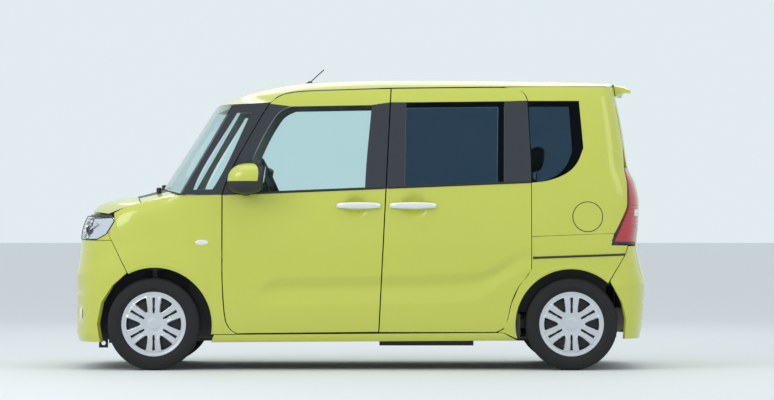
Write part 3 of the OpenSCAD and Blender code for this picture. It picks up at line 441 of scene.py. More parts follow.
paint = finish("lemon_paint", (.56, .60, .075), .34, coat=.7, fleck=.05, mottle=.02, mottle_size=2)
# Gloss black: the near-black is the trim's own colour, and the slight blue cast in its base is painted sky
# reflection
black_gloss = finish("black_gloss", (.009, .013, .023), .14, coat=.5, mottle=.15, wear=.03)
black_grain = finish("black_grain", (.02, .021, .023), .5, grain=.35, grain_size=900, mottle=.2)
inner_trim = finish("inner_trim", (.30, .29, .27), .62, grain=.4, grain_size=700, mottle=.08)
seal_rubber = finish("seal_rubber", (.012, .012, .013), .6, grain=.2, grain_size=300, mottle=.2)
clear_glass = finish("clear_glass", (.75, .88, .88), .0, glass=1, ior=1.12, mottle=.01)
dark_glass = finish("dark_glass", (.17, .24, .30), .02, glass=1, ior=1.12, mottle=.03)
chrome = finish("chrome", (.85, .86, .88), .06, metal=1, mottle=.02, wear=.02)
satin_silver = finish("satin_silver", (.78, .80, .80), .22, metal=.25, coat=.8, fleck=.03, mottle=.02)
wheel_silver = finish("wheel_silver", (.60, .63, .67), .30, metal=.55, coat=.5, fleck=.05, mottle=.03)
wheel_dark = finish("wheel_dark", (.006, .006, .008), .55, grain=.2, mottle=.2)
tyre_rubber = finish("tyre_rubber", (.008, .0085, .0095), .8, grain=.4, grain_size=500, mottle=.25,
                     mottle_size=30)
red_lens = finish("red_lens", (.48, .012, .02), .06, coat=1, mottle=.12, mottle_size=60, brushed=.05)
clear_lens = finish("clear_lens", (.93, .95, .97), .0, glass=1, ior=1.2, mottle=.01)
white_lens = finish("white_lens", (.78, .80, .78), .12, coat=1, mottle=.06, mottle_size=90)
lamp_black = finish("lamp_black", (.02, .021, .024), .3, grain=.1, mottle=.2)
dash_grain = finish("dash_grain", (.045, .046, .05), .6, grain=.5, grain_size=800, mottle=.12)
dash_pale = finish("dash_pale", (.36, .34, .30), .58, grain=.4, grain_size=800, mottle=.08)
seat_weave = finish("seat_weave", (.20, .19, .18), .9, sheen=.4, weave=420, grain=.6, mottle=.12,
                    mottle_size=14)
steel = finish("coated_steel", (.07, .072, .075), .5, grain=.25, grain_size=160, mottle=.3, wear=.12)
alloy = finish("cast_alloy", (.42, .43, .44), .5, metal=.8, grain=.5, grain_size=220, mottle=.15, wear=.1)
pipe_steel = finish("pipe_steel", (.36, .34, .31), .42, metal=.9, brushed=.08, mottle=.25, wear=.12)
tank_skin = finish("tank_skin", (.03, .03, .033), .55, grain=.3, grain_size=500, mottle=.2)
# Darker, duller copy of the body paint for the bonnet's underside: painted shade, as that face is the body
# colour
shaded_bay_paint = finish("shaded_bay_paint", (.40, .42, .09), .5, mottle=.1, grain=.1)

for node, coat in {"floor_pan": steel, "firewall": steel, "front_aprons": black_grain,
                   "wheel_wells": black_grain, "front_subframe": steel, "engine_block": alloy,
                   "rear_axle": steel, "exhaust": pipe_steel, "fuel_tank": tank_skin, "hinge_pins": steel,
                   "plate_holder": black_grain, "b_pillars": black_grain, "knuckle_left": alloy,
                   "knuckle_right": alloy}.items():
    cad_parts[node].data.materials.clear()
    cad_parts[node].data.materials.append(coat)


def net(lines, rows, split, fine, trim=0.0):
    """Grid of stations and heights: each row gives a height on every key line, the heights run evenly
    between rows, the stations follow the key lines, and the columns between two key lines are even.
    Also gives the row and the key stretch of each cell."""
    rows = np.array(rows, float)
    rows[0] += trim
    rows[-1] -= trim
    place = np.concatenate([np.arange(n)/n + r for r, n in enumerate(fine)] + [[len(fine)]])
    low = np.minimum(place.astype(int), len(fine) - 1)
    z = mix(rows[low], rows[low + 1], (place - low)[:, None])
    x = np.stack([line(z[:, k]) for k, line in enumerate(lines)], 1)
    x[:, 0] += trim
    x[:, -1] -= trim
    spot = np.concatenate([np.arange(n)/n + k for k, n in enumerate(split)] + [[len(split)]])
    near = np.minimum(spot.astype(int), len(split) - 1)
    f = spot - near
    grid = [mix(a[:, near], a[:, near + 1], f) for a in (x, z)]
    return grid[0], grid[1], low[:-1], near[:-1]


def crown_band(x, z, top_x, top_z, cells):
    """Rows added above a grid, from its last row to a curve of stations and heights."""
    f = np.arange(1, cells + 1)[:, None]/cells
    return np.concatenate([x, mix(x[-1], top_x, f)]), np.concatenate([z, mix(z[-1], top_z, f)])


door_front = through((DOOR_FOOT, X_DOOR + 86), (240, X_DOOR + 50), (290, X_DOOR + 21), (420, X_DOOR + 6),
                     (560, X_DOOR), (1034, X_DOOR), (1045, X_DOOR + 3), (1480, X_DOOR + 220),
                     (1577, X_DOOR + 282))
front_glass_f = through((DOOR_FOOT, X_DOOR + 130), (1034, X_DOOR + 95), (1236, X_DOOR + 175),
                        (1473, X_DOOR + 298), (1531, X_DOOR + 347), (1556, X_DOOR + 403),
                        (1600, X_DOOR + 430))
front_glass_r = through((DOOR_FOOT, X_B - 140), (BELT, X_B - 124), (WINDOW_TOP, X_B - 83), (RAIL, X_B - 76))
slide_glass_f = through((DOOR_FOOT, X_B + 95), (BELT, X_B + 109), (WINDOW_TOP, X_B + 120),
                        (RAIL, X_B + 124))
slide_glass_r = through((DOOR_FOOT, X_C - 300), (400, X_C - 200), (600, X_C - 163), (BELT, X_C - 161),
                        (RAIL, X_C - 157))
slide_rear = through((225, X_C - 207), (249, X_C - 165), (300, X_C - 141), (389, X_C - 121),
                     (491, X_C - 77), (570, X_C - 12), (598, X_C), (1106, X_C), (1590, X_C - 20))
door_top = through((-528, 1577), (-491, 1608), (-435, 1632), (-331, 1646), (-95, 1655), (189, 1663),
                   (520, 1667), (852, 1670))
screen_side = straight((1030, X_DOOR - 246), (1567, X_DOOR + 67))


def side_panel(x, z, cells, opening, dark, depth, taper=0.0, finishes=(0, 1, 2)):
    """Shell on the left skin from a grid: the flank is pressed into the outer face, the cells in
    `opening` stay open and those in `dark` get the second finish. The inner face has its edges drawn
    in by `taper`."""
    pressed = flank(x, z)
    outer = side(x, z, pressed)
    v, u = x.shape
    f = np.zeros((v, u))
    g = np.zeros((v, u))
    f[:, 0], f[:, -1] = taper, -taper
    g[0], g[-1] = taper, -taper
    inner = side(x + f, z + g, depth)
    colour = np.where(dark(*cells), finishes[1], finishes[0])
    return shell_part(outer, inner, ~opening(*cells), colour, finishes[2], None)


def cell_grid(rows, cols):
    """Row and column numbers of every cell."""
    return np.broadcast_arrays(rows[:, None], cols[None, :])


def nowhere(rows, cols):
    """No cell."""
    return rows < 0


def front_door():
    """Left front door: key lines at its front edge, the glass and the B seam; above the window line a
    painted crown up to the curved top edge."""
    lines = [door_front, front_glass_f, front_glass_r, pillar_b]
    rows = [[214, 216, 223, 224], [290, 292, 298, 300], [420, 422, 428, 430], [600, 600, 600, 600],
            [belt(X_DOOR), belt(X_DOOR + 95), belt(X_B - 124), belt(X_B)], [1236, 1300, 1300, 1300],
            [1572, 1556, 1564, 1580]]
    x, z, r, c = net(lines, rows, [10, 46, 12], [6, 8, 18, 26, 10, 14])
    x[:, 0] += GAP
    x[:, -1] -= GAP
    z[0] += GAP
    top_x = np.linspace(x[-1, 0], pillar_b(RAIL) - GAP, x.shape[1])
    top_x = mix(x[-1], top_x, .6)
    top_x[0], top_x[-1] = x[-1, 0] + 1, pillar_b(RAIL) - GAP
    x, z = crown_band(x, z, top_x, door_top(top_x) - GAP, 8)
    r = np.concatenate([r, np.full(8, 6)])
    window = lambda a, b: (a >= 4) & (a <= 5) & (b == 1)
    return side_panel(x, z, cell_grid(r, c), window, lambda a, b: (a >= 4) & (a <= 5), DOOR_T - 2, 14)


def pane(lines, rows, split, fine, trim=1.2, depth=GLASS_IN):
    """Curved pane in an opening of the left side, with its edges drawn in a little."""
    x, z, _, _ = net(lines, rows, split, fine)
    x[:, 0] += trim
    x[:, -1] -= trim
    z[0] += trim
    z[-1] -= trim
    return plate(x, z, depth, depth + GLASS_T)


def sliding_door():
    """Left sliding door, with its rounded upper rear corner."""
    lines = [lambda z: pillar_b(z) + GAP, slide_glass_f, slide_glass_r, slide_rear]
    rows = [[224, 224, 224, 225], [300]*4, [390, 390, 390, 389], [495, 495, 495, 491], [600, 600, 600, 598],
            [belt(X_B), belt(X_B + 109), belt(X_C - 161), belt(X_C)], [1580, 1580, 1586, 1590]]
    x, z, r, c = net(lines, rows, [10, 44, 12], [6, 7, 9, 9, 24, 22])
    x[:, -1] -= 2
    z[0] += 2
    s = np.linspace(0, 1, x.shape[1])
    top_x = mix(pillar_b(RAIL) + GAP, X_C - 24, s)
    drop = through((X_C - 200, 0), (X_C - 110, 4), (X_C - 65, 18), (X_C - 38, 40), (X_C - 22, 78))
    top_z = door_top(top_x) - GAP - drop(top_x)
    x, z = crown_band(x, z, top_x, np.maximum(top_z, z[-1] + 1), 8)
    r = np.concatenate([r, np.full(8, 6)])
    window = lambda a, b: (a == 5) & (b == 1)
    return side_panel(x, z, cell_grid(r, c), window, lambda a, b: a == 5, DOOR_T)


def a_pillar():
    """Black corner panel with the small fixed window."""
    window_f = through((1034, X_DOOR - 180), (1061, X_DOOR - 172), (1519, X_DOOR + 88),
                       (1575, X_DOOR + 120))
    window_r = through((1034, X_DOOR - 70), (1065, X_DOOR - 58), (1080, X_DOOR - 47), (1517, X_DOOR + 168),
                       (1575, X_DOOR + 196))
    lines = [screen_side, window_f, window_r, lambda z: door_front(z) - GAP]
    rows = [[1033, 1033, 1033, 1036], [1063, 1063, 1066, 1068], [1300]*4, [1517, 1517, 1515, 1515],
            [1566, 1568, 1570, 1573]]
    x, z, r, c = net(lines, rows, [6, 12, 8], [4, 14, 14, 6], .3)
    window = lambda a, b: (a >= 1) & (a <= 2) & (b == 1)
    return side_panel(x, z, cell_grid(r, c), window, nowhere, WALL, finishes=(0, 0, 2))


lamp_edge = through((738, 1462), (797, 1495), (877, 1537), (985, 1577), (1091, 1577), (1197, 1562),
                    (1260, 1568))
gate_half = through((560, 575), (740, 565), (1100, 560), (1200, 555), (1343, 560), (1502, 548),
                    (1610, 525), (1660, 505), (ROOF, 475))


def quarter_edge(z):
    """Rear edge of the quarter panel: the lamp's edge, and above it the tailgate's gap."""
    z = np.asarray(z, float)
    return np.where(z < 1197, lamp_edge(z), tail_x(gate_half(z) + 7, z))


def panel_joint(x):
    """Height of the joint across the quarter panel, which rises evenly to the rear."""
    return 797 + JOINT_RISE*(x - X_REAR_AXLE - 8)


quarter_sweep = through((1010, 1104), (1079, 1111), (1161, 1133), (1235, 1172), (1283, 1226), (1317, 1309))


def quarter_panel():
    """Quarter panel above the joint: rows follow the joint, the sweep under the glass, the window line
    and the roof rail."""
    s = np.concatenate([np.linspace(0, .03, 3), np.linspace(.03, .58, 36)[1:], np.linspace(.58, 1, 26)[1:]])
    c = np.searchsorted([.03, .58], s[:-1] + 1e-6)
    joint_x = mix(X_C + 2, lamp_edge(808) - 2, s)
    rear = np.clip((s - .58)/.42, 0, 1)
    sweep_x = np.where(s < .58, mix(X_C + 2, 1317, np.clip(s/.58, 0, 1)**.8),
                       mix(1317, quarter_edge(1330) - 1, rear))
    sweep_z = np.where(s < .58, quarter_sweep(sweep_x), mix(1309, 1330, rear))
    low_x = np.where(s < .58, mix(X_C + 2, 1325, np.clip(s/.58, 0, 1)**.8),
                     mix(1325, lamp_edge(1185) - 2, rear))
    low_z = np.where(s < .58, quarter_sweep(np.minimum(low_x, 1317)) - 60*s/.58, mix(1249, 1190, rear))
    window_x = np.where(s < .58, mix(X_C - 18, 1293, np.clip(s/.58, 0, 1)),
                        mix(1293, quarter_edge(1587) - 1, rear))
    rail_x = mix(X_C - 159, quarter_edge(1672), s)
    rail_z = mix(1669, 1672, np.clip(s/.3, 0, 1))
    curves = [(joint_x, panel_joint(joint_x) + 1), (low_x, low_z), (sweep_x, sweep_z),
              (window_x, 1588 + 0*s), (rail_x, rail_z)]
    fine = [22, 5, 26, 7]
    xs, zs, r = [], [], []
    for k, n in enumerate(fine):
        f = (np.arange(n + (k == len(fine) - 1))/n)[:, None]
        xs.append(mix(curves[k][0], curves[k + 1][0], f))
        zs.append(mix(curves[k][1], curves[k + 1][1], f))
        r += [k]*n
    x, z = np.concatenate(xs), np.concatenate(zs)
    corner = through((1588, X_C - 17), (1626, X_C - 33), (1648, X_C - 61), (1660, X_C - 102),
                     (1669, X_C - 159))
    front = np.where(z[:, 0] < 1588, slide_rear(z[:, 0]) + 2, corner(z[:, 0]))
    behind = np.where(z[:, -1] < 1190, lamp_edge(z[:, -1]) - 2, x[:, -1])
    x = x + (front - x[:, 0])[:, None]*(1 - s)**3 + (behind - x[:, -1])[:, None]*s**3
    cells = cell_grid(np.array(r), c)
    window = lambda a, b: (a == 2) & (b <= 1)
    part = side_panel(x, z, cells, window, nowhere, WALL)
    glass_x, glass_z = x[27:54, :38], z[27:54, :38]
    return part, glass_x, glass_z


def ring_panel(arch, keys, cells, depth=WALL, flange=.8, roll=30.0):
    """Panel round a wheel arch: each key gives an angle on the arch, a point of the outer edge and a
    roll-in there; straight lines join arch and edge, and the roll grows with the eighth power."""
    keys = np.array(keys, float)
    n = cells[0]
    along = np.linspace(0, len(keys) - 1, (len(keys) - 1)*n + 1)
    k = np.stack([np.interp(along, np.arange(len(keys)), keys[:, i]) for i in range(4)], 1)
    v = np.concatenate([np.linspace(0, .06, 4), np.linspace(.06, .9, cells[1])[1:],
                        np.linspace(.9, 1, 8)[1:]])[:, None]
    a = np.radians(k[:, 0])
    x = mix(arch[0] + arch[2]*np.cos(a), k[:, 1], v)
    z = mix(arch[1] + arch[2]*np.sin(a), k[:, 2], v)
    turn = k[:, 3]*v**8
    lip = 2.5*(1 - step(0, .05, v)) - 2.0*np.exp(-((v - .055)/.03)**2)
    outer = side(x, z, turn + flank(x, z) + lip - flare(x, z))
    inner = side(x, z, turn + depth*(1 - flange*turn/roll))
    return shell_part(outer, inner, None, 0, 1, 0)


EDGE_F = X_DOOR - GAP
fender_keys = [(117, -1479.5, 803, 0), (115, -1460, 842, 0), (113, -1440.5, 880, 0),
               (106, -1462.5, 926, 30), (98, -1380.5, 966, 30), (88, -1294.5, 987, 30),
               (76, -1180.5, 1010, 30), (62, -1056.5, 1032, 8), (42, EDGE_F, 1032, 0),
               (22, EDGE_F, 760, 0), (13, EDGE_F, 560, 0)]
fender_keys += [(a, door_front(z) - GAP, z, 0) for a, z in ((6, 420), (3, 340), (0, 292), (-3, 262),
                                                            (-6, 237), (-9.4, 214))]
quarter_keys = [(188, X_C - 166, 247, 0), (178, X_C - 139, 300, 0), (162, X_C - 119, 389, 0),
                (147, X_C - 75, 491, 0), (133, X_C + 2, 598, 0), (122, X_C + 2, 786, 0),
                (100, 1119.5, 791, 0), (80, 1259.5, 796, 0), (62, 1399.5, 802, 0), (54, 1495, 805, 0),
                (53, 1461, 736, 0), (51.5, 1577.5, 735, 0), (50, 1560.5, 682, 0), (48.5, 1513.5, 604, 0),
                (48, 1469.5, 532, 0)]


def span_grid(rows, count, across, crown, down=0.0, depth=0.0):
    """Panel across the car: smooth lines run fore and aft through the rows' middles and edges, and
    each row drops from its middle to its edge with a power of the share of the half width."""
    rows = np.array(rows, float)
    at = np.linspace(0, len(rows) - 1, count)
    mid_x, mid_z, edge_x, edge_z, roll = [through(*enumerate(rows[:, i]))(at) for i in range(5)]
    edge = side(edge_x, edge_z, roll + depth)
    t = across
    x = mix(mid_x[:, None], edge[:, 0][:, None], t**2)
    y = -t*edge[:, 1][:, None]
    z = mix(mid_z[:, None] - down, edge[:, 2][:, None], np.abs(t)**crown)
    return np.stack([x, y, z], -1)[::-1]


def over(n):
    """Shares across the car, closer together at the sides."""
    a = np.linspace(-1, 1, n)
    return np.sign(a)*(1 - (1 - np.abs(a))**1.7)


ROOF_END = 1511.0
roof_x = [-743, -528, -491, -435, -331, -95, 189, 520, 852, 1180, 1299.5, 1491]
roof_mid = [(-862, 1570), (-770, 1614), (-700, 1641), (-600, 1667), (-460, 1694), (-180, 1714),
            (154, 1722), (480, 1722), (852, 1719), (1180, 1713), (1299, 1710), (ROOF_END, 1702)]
roof_edge = [1568, 1581, 1612, 1636, 1650, 1659, 1667, 1671, 1673.5, 1674.5, 1675, 1675]
roof_rows = [(mx, mz, ex, ez, 0) for (mx, mz), ex, ez in zip(roof_mid, roof_x, roof_edge)]


def nose_panel(levels, fine, outer_y, inner_y, cells, depth, press=None):
    """Panel on the nose: rows at even heights between the levels, columns at even steps of the plan
    curve's angle from one half width to the other."""
    z = np.concatenate([mix(a, b, np.arange(fine)/fine) for a, b in zip(levels, levels[1:])]
                       + [[levels[-1]]])
    angle = lambda y: np.sign(y)*np.arcsin(np.clip(np.abs(y)/section(z), 0, 1)**(ROUND_F/2))
    s = np.linspace(0, 1, cells + 1)
    a = mix(angle(outer_y(z))[:, None], angle(inner_y(z))[:, None], s)
    y = np.sign(a)*section(z)[:, None]*np.abs(np.sin(a))**(2/ROUND_F)
    zz = np.broadcast_to(z[:, None], y.shape)
    push = press(y, zz) if press else 0*y
    return nose_skin(y, zz, push), nose_skin(y, zz, depth), y, zz


def tail_panel(z, keys, split, depth, press=None):
    """Panel on the tail: keys are half widths at each height, and the columns between two keys are
    even steps of the plan curve's angle."""
    z = np.asarray(z, float)
    a = np.stack([np.sign(k(z))*np.arcsin(np.clip(np.abs(k(z))/section(z), 0, 1)**(ROUND_R/2))
                  for k in keys], 1)
    spot = np.concatenate([np.arange(n)/n + k for k, n in enumerate(split)] + [[len(split)]])
    near = np.minimum(spot.astype(int), len(split) - 1)
    a = mix(a[:, near], a[:, near + 1], spot - near)
    y = np.sign(a)*section(z)[:, None]*np.abs(np.sin(a))**(2/ROUND_R)
    zz = np.broadcast_to(z[:, None], y.shape)
    push = press(y, zz) if press else 0*y
    return tail_skin(y, zz, push), tail_skin(y, zz, depth), y, zz, near[:-1]


# Doors, sides and top
body_finish = [paint, black_gloss, inner_trim]
door = front_door()
door_pane = pane([front_glass_f, front_glass_r],
                 [[belt(X_DOOR + 95), belt(X_B - 124)], [1300, 1300], [1556, 1564]], [46], [10, 14])
for name, turn in (("left", as_drawn), ("right", mirrored)):
    piece(f"door_skin_{name}", [turn(door)], body_finish, f"front_door_{name}", [f"front_door_{name}"],
          2)
    piece(f"door_glass_{name}", [turn(door_pane)], [clear_glass], f"front_door_{name}",
          [f"front_door_glass_{name}"])
piece("sliding_door_skins", both(sliding_door()), body_finish, stands_for=["sliding_doors"],
      bevel=2)
piece("corner_panels", both(a_pillar()), [black_gloss, black_gloss, inner_trim], stands_for=["a_pillars"],
      bevel=1.5)
quarter, quarter_gx, quarter_gz = quarter_panel()
quarter_glass = plate(quarter_gx, quarter_gz, 5, 10)
slide_pane = pane([slide_glass_f, slide_glass_r], [[belt(X_B + 109), belt(X_C - 161)], [1580, 1586]],
                  [44], [22])
vent_pane = pane([straight((1061, X_DOOR - 172), (1519, X_DOOR + 88)),
                  through((1065, X_DOOR - 58), (1080, X_DOOR - 47), (1517, X_DOOR + 168))],
                 [[1063, 1066], [1517, 1515]], [12], [28])
piece("fixed_side_glass", both(slide_pane) + both(quarter_glass), [dark_glass], stands_for=["side_glass"])
piece("vent_glass", both(vent_pane), [clear_glass])
piece("quarter_skins", both(quarter), body_finish, stands_for=["quarter_upper"],
      bevel=1.5)
piece("rear_arch_skins", both(ring_panel(REAR_ARCH, quarter_keys, (8, 34))), [paint, black_grain],
      stands_for=["quarter_lower"], bevel=1.5)
piece("fender_skins", both(ring_panel(FRONT_ARCH, fender_keys, (8, 34))), [paint, black_grain],
      stands_for=["front_fenders"], bevel=1.5)

sill_x = np.linspace(0, 1, 90)
sill_rows = [(SILL, SILL + 10), (SILL + 22, SILL + 30), (209.5, 221)]
sx = np.stack([mix(-876.5 + k*9, 930 - k*42, sill_x) for k in range(3)])
sz = np.stack([mix(a, b, sill_x) for a, b in sill_rows])
u = np.linspace(0, 1, 20)
foot_angle = math.radians(188)
foot_x = mix(straight((0, 812), (.3, 848), (.65, 887), (1, 926))(u),
             mix(851, REAR_ARCH[0] + REAR_ARCH[2]*math.cos(foot_angle), u), np.linspace(0, 1, 8)[:, None])
foot_z = mix(straight((0, 222.8), (.3, 222), (.65, 204), (1, 186))(u),
             mix(245, REAR_ARCH[1] + REAR_ARCH[2]*math.sin(foot_angle) - 2, u),
             np.linspace(0, 1, 8)[:, None])
piece("arch_feet", both(plate(foot_x, foot_z, 0, WALL)), [paint], bevel=1)
piece("sill_skins", both(plate(sx, sz, [[10], [0], [3]], 110)), [paint], stands_for=["sills"],
      bevel=3)

t = over(81)
under = [list(row) for row in roof_rows]
under[-1][0] -= 60
under[-1][2] -= 60
piece("roof_skin", [shell_part(span_grid(roof_rows, 110, t, 5), span_grid(under, 110, t, 5, WALL, 60),
                               None, 0, 1, 0)], [paint, dash_pale], stands_for=["roof"],
      bevel=1.5)
screen = [(mix(X_DOOR - 379, X_DOOR - 58, f), mix(1074, 1566, f), screen_side(1036 + f*527) - 7,
           1036 + f*527, 3) for f in (0, .25, .5, .75, 1)]
screen_back = [(a + 4.2, b - 2.8, c + 4.2, d - 2.8, e) for a, b, c, d, e in screen]
t = over(41)
piece("windscreen_pane", [shell_part(span_grid(screen, 30, t, 2), span_grid(screen_back, 30, t, 2))],
      [clear_glass], stands_for=["windscreen"])
bonnet_rows = [(-1616.5, 936, -1519.5, 922, 49), (-1599.5, 957, -1488.5, 932, 49),
               (-1563.5, 982, -1453.5, 943, 49), (-1503.5, 1003, -1413.5, 956, 49),
               (-1433.5, 1016, -1363.5, 970, 49), (-1341.2, 1028, -1298, 986, 49)]
# The bonnet's inner face takes the darker copy of the body paint, which is painted shade
piece("bonnet_skin",
      [shell_part(span_grid(bonnet_rows, 44, over(61), 2.5),
                  span_grid(bonnet_rows, 44, over(61), 2.5, 24, 24), None, 0, 1, 0)], [paint, shaded_bay_paint],
      "bonnet", ["bonnet"], 2.5)
cowl_rows = [(-1333, 1027, -1291, 986, 39), (-1188.5, 1067, -1066.5, 1029, 41)]
end = np.abs(over(61)[1:] + over(61)[:-1])/2 > .66
piece("cowl_cover",
      [shell_part(span_grid(cowl_rows, 16, over(61), 2.5),
                  span_grid(cowl_rows, 16, over(61), 2.5, 35, 30), None,
                  np.broadcast_to(np.where(end, 1, 0), (15, 60)))], [black_grain, paint],
      stands_for=["cowl"], bevel=1.5)

# Nose
front_seam = straight((SILL, -1526.5), (272, -1544.9), (400, -1517.5), (500, -1452.5), (575, -1367.5),
                      (766, -1463.5))
seam_y = lambda z: half_width(front_seam(z) - 1.5, z)
mouth = lambda y, z: (np.abs(y) < 330) & (z > 287) & (z < 402)


def bumper_press(y, z):
    """Bumper relief: a lower lip, two fog pockets and a soft waist under the lamps."""
    pocket = np.exp(-(((np.abs(y) - 520)/70)**4 + ((z - 330)/44)**4))
    waist = 5*np.exp(-((z - 470)/16)**2)*step(620, 500, np.abs(y))
    swell = np.maximum(flare(nose_skin(y, z)[..., 0], z), 3*(1 - step(560, 680, z)))
    return 9*pocket + waist - 3*np.exp(-((z - 210)/14)**2) - swell


outer, inner, y, z = nose_panel([SILL, 215, 285, 400, 500, 575, 660, 764], 8, seam_y,
                                lambda z: -seam_y(z), 120, 26, press=bumper_press)
centre = lambda a: (a[:-1, :-1] + a[1:, 1:])/2
open_mouth = mouth(centre(y), centre(z))
piece("front_bumper_skin", [shell_part(outer, inner, ~open_mouth, 0, 1, 0)], [paint, black_grain],
      stands_for=["front_bumper"], bevel=1.5)
lamp_back = straight((766, -1558.5), (800, -1493.5), (878, -1443.5), (908, -1464))
lamp_y = lambda z: half_width(lamp_back(z) - 2, z)
outer, inner, y, z = nose_panel([770, 800, 840, 878, 906], 8, lambda z: 387 + 0*z, lamp_y, 40, 45)
lens = crossed(nose_plate(y, z, 1, 4))
bucket_press = 20 + 26*(np.cos((y - 470)/70)*np.cos((z - 836)/46)).clip(0, 1)
bucket = crossed(nose_plate(y, z, bucket_press, bucket_press + 4))
rim_f = np.concatenate([np.stack([y[0], z[0]], 1), np.stack([y[:, -1], z[:, -1]], 1),
                        np.stack([y[-1], z[-1]], 1)[::-1], np.stack([y[:, 0], z[:, 0]], 1)[::-1]])
rim_path = nose_skin(-rim_f[:, 0], rim_f[:, 1], 2)
rim_path = rim_path[np.r_[True, np.linalg.norm(np.diff(rim_path, axis=0), axis=1) > 1]]
surround = tube_part(rim_path, 4, 8, 0)
fill_z = np.linspace(767, 802, 8)[:, None]
fill_x = mix(lamp_back(fill_z) + 2.5, -1464.5 - (fill_z - 767)/2, np.linspace(0, 1, 12))
fill_z = fill_z + 0*fill_x
piece("lamp_corners", both(plate(fill_x, fill_z, 0, 30)), [paint])
brow = nose_skin(-np.linspace(400, 640, 40), 792 + 70*np.linspace(0, 1, 40)**2.2, 12)
strip = tube_part(brow, 7, 10, 0)
bowl = turned_part([(4, -6), (30, -2), (44, 16), (47, 22), (44, 23), (28, 6), (0, 4)], 40, 0, "-x",
                   (-1601, -470, 836))
eye = turned_part([(0, 20), (14, 17), (24, 8), (26, 0), (26, -18), (0, -18)], 32, 0, "-x",
                  (-1604, -555, 826))
piece("headlamp_lenses", both(lens), [clear_lens], stands_for=["headlamps"])
piece("headlamp_buckets", both(bucket), [chrome])
piece("headlamp_surrounds", both(surround), [lamp_black])
piece("headlamp_strips", both(strip) + both(bowl), [chrome])
piece("headlamp_eyes", both(eye), [lamp_black])

# Dark guards between the rear arch feet and the tyres
guard_x, guard_z = np.meshgrid([922., 944.], [186., 230., 280., 330.])
piece("rear_guards", both(plate(guard_x, guard_z, 14, 150)), [lamp_black])

# Dark ledge that closes the slot between lamps, grille and bonnet lip
ledge_y, ledge_z = np.broadcast_arrays(np.linspace(-1, 1, 61)[None]*(lamp_y(906) - 2),
                                       np.array([[903.], [917.]]))
piece("lamp_ledge", [nose_plate(-ledge_y, ledge_z, 14, 60)], [lamp_black])

# Grille, mouth and fog lamps
bars = [nose_skin(np.linspace(-380, 380, 60), zz, 6) for zz in np.linspace(782, 892, 5)]
back_y, back_z = np.meshgrid(np.linspace(-384, 384, 40), np.linspace(770, 905, 12))
grille_back = nose_plate(-back_y, back_z, 22, 26)
piece("grille_bars", [tube_part(b[::-1], 7, 10, 0, flat=.8) for b in bars] + [grille_back], [black_gloss],
      stands_for=["grille"])
rib_z = np.linspace(300, 392, 5)
piece("mouth_ribs", [tube_part(nose_skin(np.linspace(-322, 322, 40), zz, 34), 4, 8, 0) for zz in rib_z],
      [black_grain])
fog = turned_part([(0, 8), (26, 6), (36, 0), (40, -8), (30, -14), (0, -14)], 36, 0, "-x")
fog_at = nose_skin(np.array(-520.0), np.array(330.0), 2)
piece("fog_lamps", both(shifted(fog, [fog_at])), [white_lens])

# Tail
rear_seam = straight((200, 1560.5), (306, 1566.5), (400, 1541.5), (525, 1470.5), (604, 1518.5),
                     (685, 1567.5), (732, 1582.5))
bumper_y = lambda z: half_width(rear_seam(z) + 1.5, z)
gate_y = lambda z: gate_half(z) + 7


def rear_press(y, z):
    """Rear bumper relief: a waist across the middle and a soft roll below the tailgate."""
    return 5*np.exp(-((z - 400)/14)**2)*step(560, 480, np.abs(y)) - 3*np.exp(-((z - 500)/20)**2)


def lamp_press(y, z):
    """Tail lamp relief: fine ribs across, on a lens that swells round its middle."""
    return 1.5*np.cos(z/7.5)**8 - 5*np.exp(-((z - 980)/120)**2)


def gate_press(y, z):
    """Tailgate relief: a rounded recess for the plate."""
    return 16*np.exp(-((y/290)**8 + ((z - 690)/75)**8))


def pane_press(y, z):
    """Even depth of the rear window below the skin."""
    return GLASS_IN + 0*y


zs = np.concatenate([np.linspace(185, 553, 34), np.linspace(553, 730, 20)[1:]])
outer, inner, y, z, k = tail_panel(zs, [lambda z: -bumper_y(z), lambda z: -gate_y(z), gate_y, bumper_y],
                                   [16, 70, 16], 26, rear_press)
keep = ~((zs[:-1, None] >= 552.9) & (k[None] == 1))
piece("rear_bumper_skin", [shell_part(outer, inner, keep, 0, 1, 0)], [paint, black_grain],
      stands_for=["rear_bumper"], bevel=1.5)
zs = np.linspace(742, 1193, 60)
lamp_out = lambda z: half_width(lamp_edge(z) + 1.5, z)
outer, inner, y, z, k = tail_panel(zs, [lambda z: -lamp_out(z), lambda z: -gate_y(z)], [24], WALL,
                                   lamp_press)
white = (z[:-1, :-1] > 905) & (z[:-1, :-1] < 945) & (np.abs(y[:-1, :-1]) < 640)
rim = (z[:-1, :-1] < 752) | (np.arange(24)[None] < 2)
piece("tail_lamp_lenses", both(shell_part(outer, inner, None, np.where(rim, 2, np.where(white, 1, 0)))),
      [red_lens, white_lens, lamp_black], stands_for=["tail_lamps"], bevel=2)
zs = np.concatenate([np.linspace(560, 1120, 46), np.linspace(1120, 1550, 30)[1:],
                     np.linspace(1550, 1674, 12)[1:]])
wide = lambda f: (lambda z: f*gate_half(z))
outer, inner, y, z, k = tail_panel(zs, [wide(-1), wide(-.84), wide(.84), wide(1)], [10, 60, 10], WALL,
                                   gate_press)
iz = z.copy()
iz[0] += 12
iz[-1] -= 40
inner = tail_skin(y*(1 - 12/gate_half(z)), iz, WALL)
band = (zs[:-1] >= 1119) & (zs[:-1] < 1549)
window = band[:, None] & (k[None] == 1)
piece("tailgate_skin", [shell_part(outer, inner, ~window, 0, 1, 0)], [paint, inner_trim], "tailgate",
      ["tailgate"], 2)
zs = np.linspace(1121, 1549, 30)
outer, inner, y, z, k = tail_panel(zs, [wide(-.83), wide(.83)], [50], GLASS_IN + GLASS_T, pane_press)
piece("tailgate_pane", [shell_part(outer, inner)], [dark_glass], "tailgate", ["tailgate_glass"])
y = np.linspace(470, -470, 60)
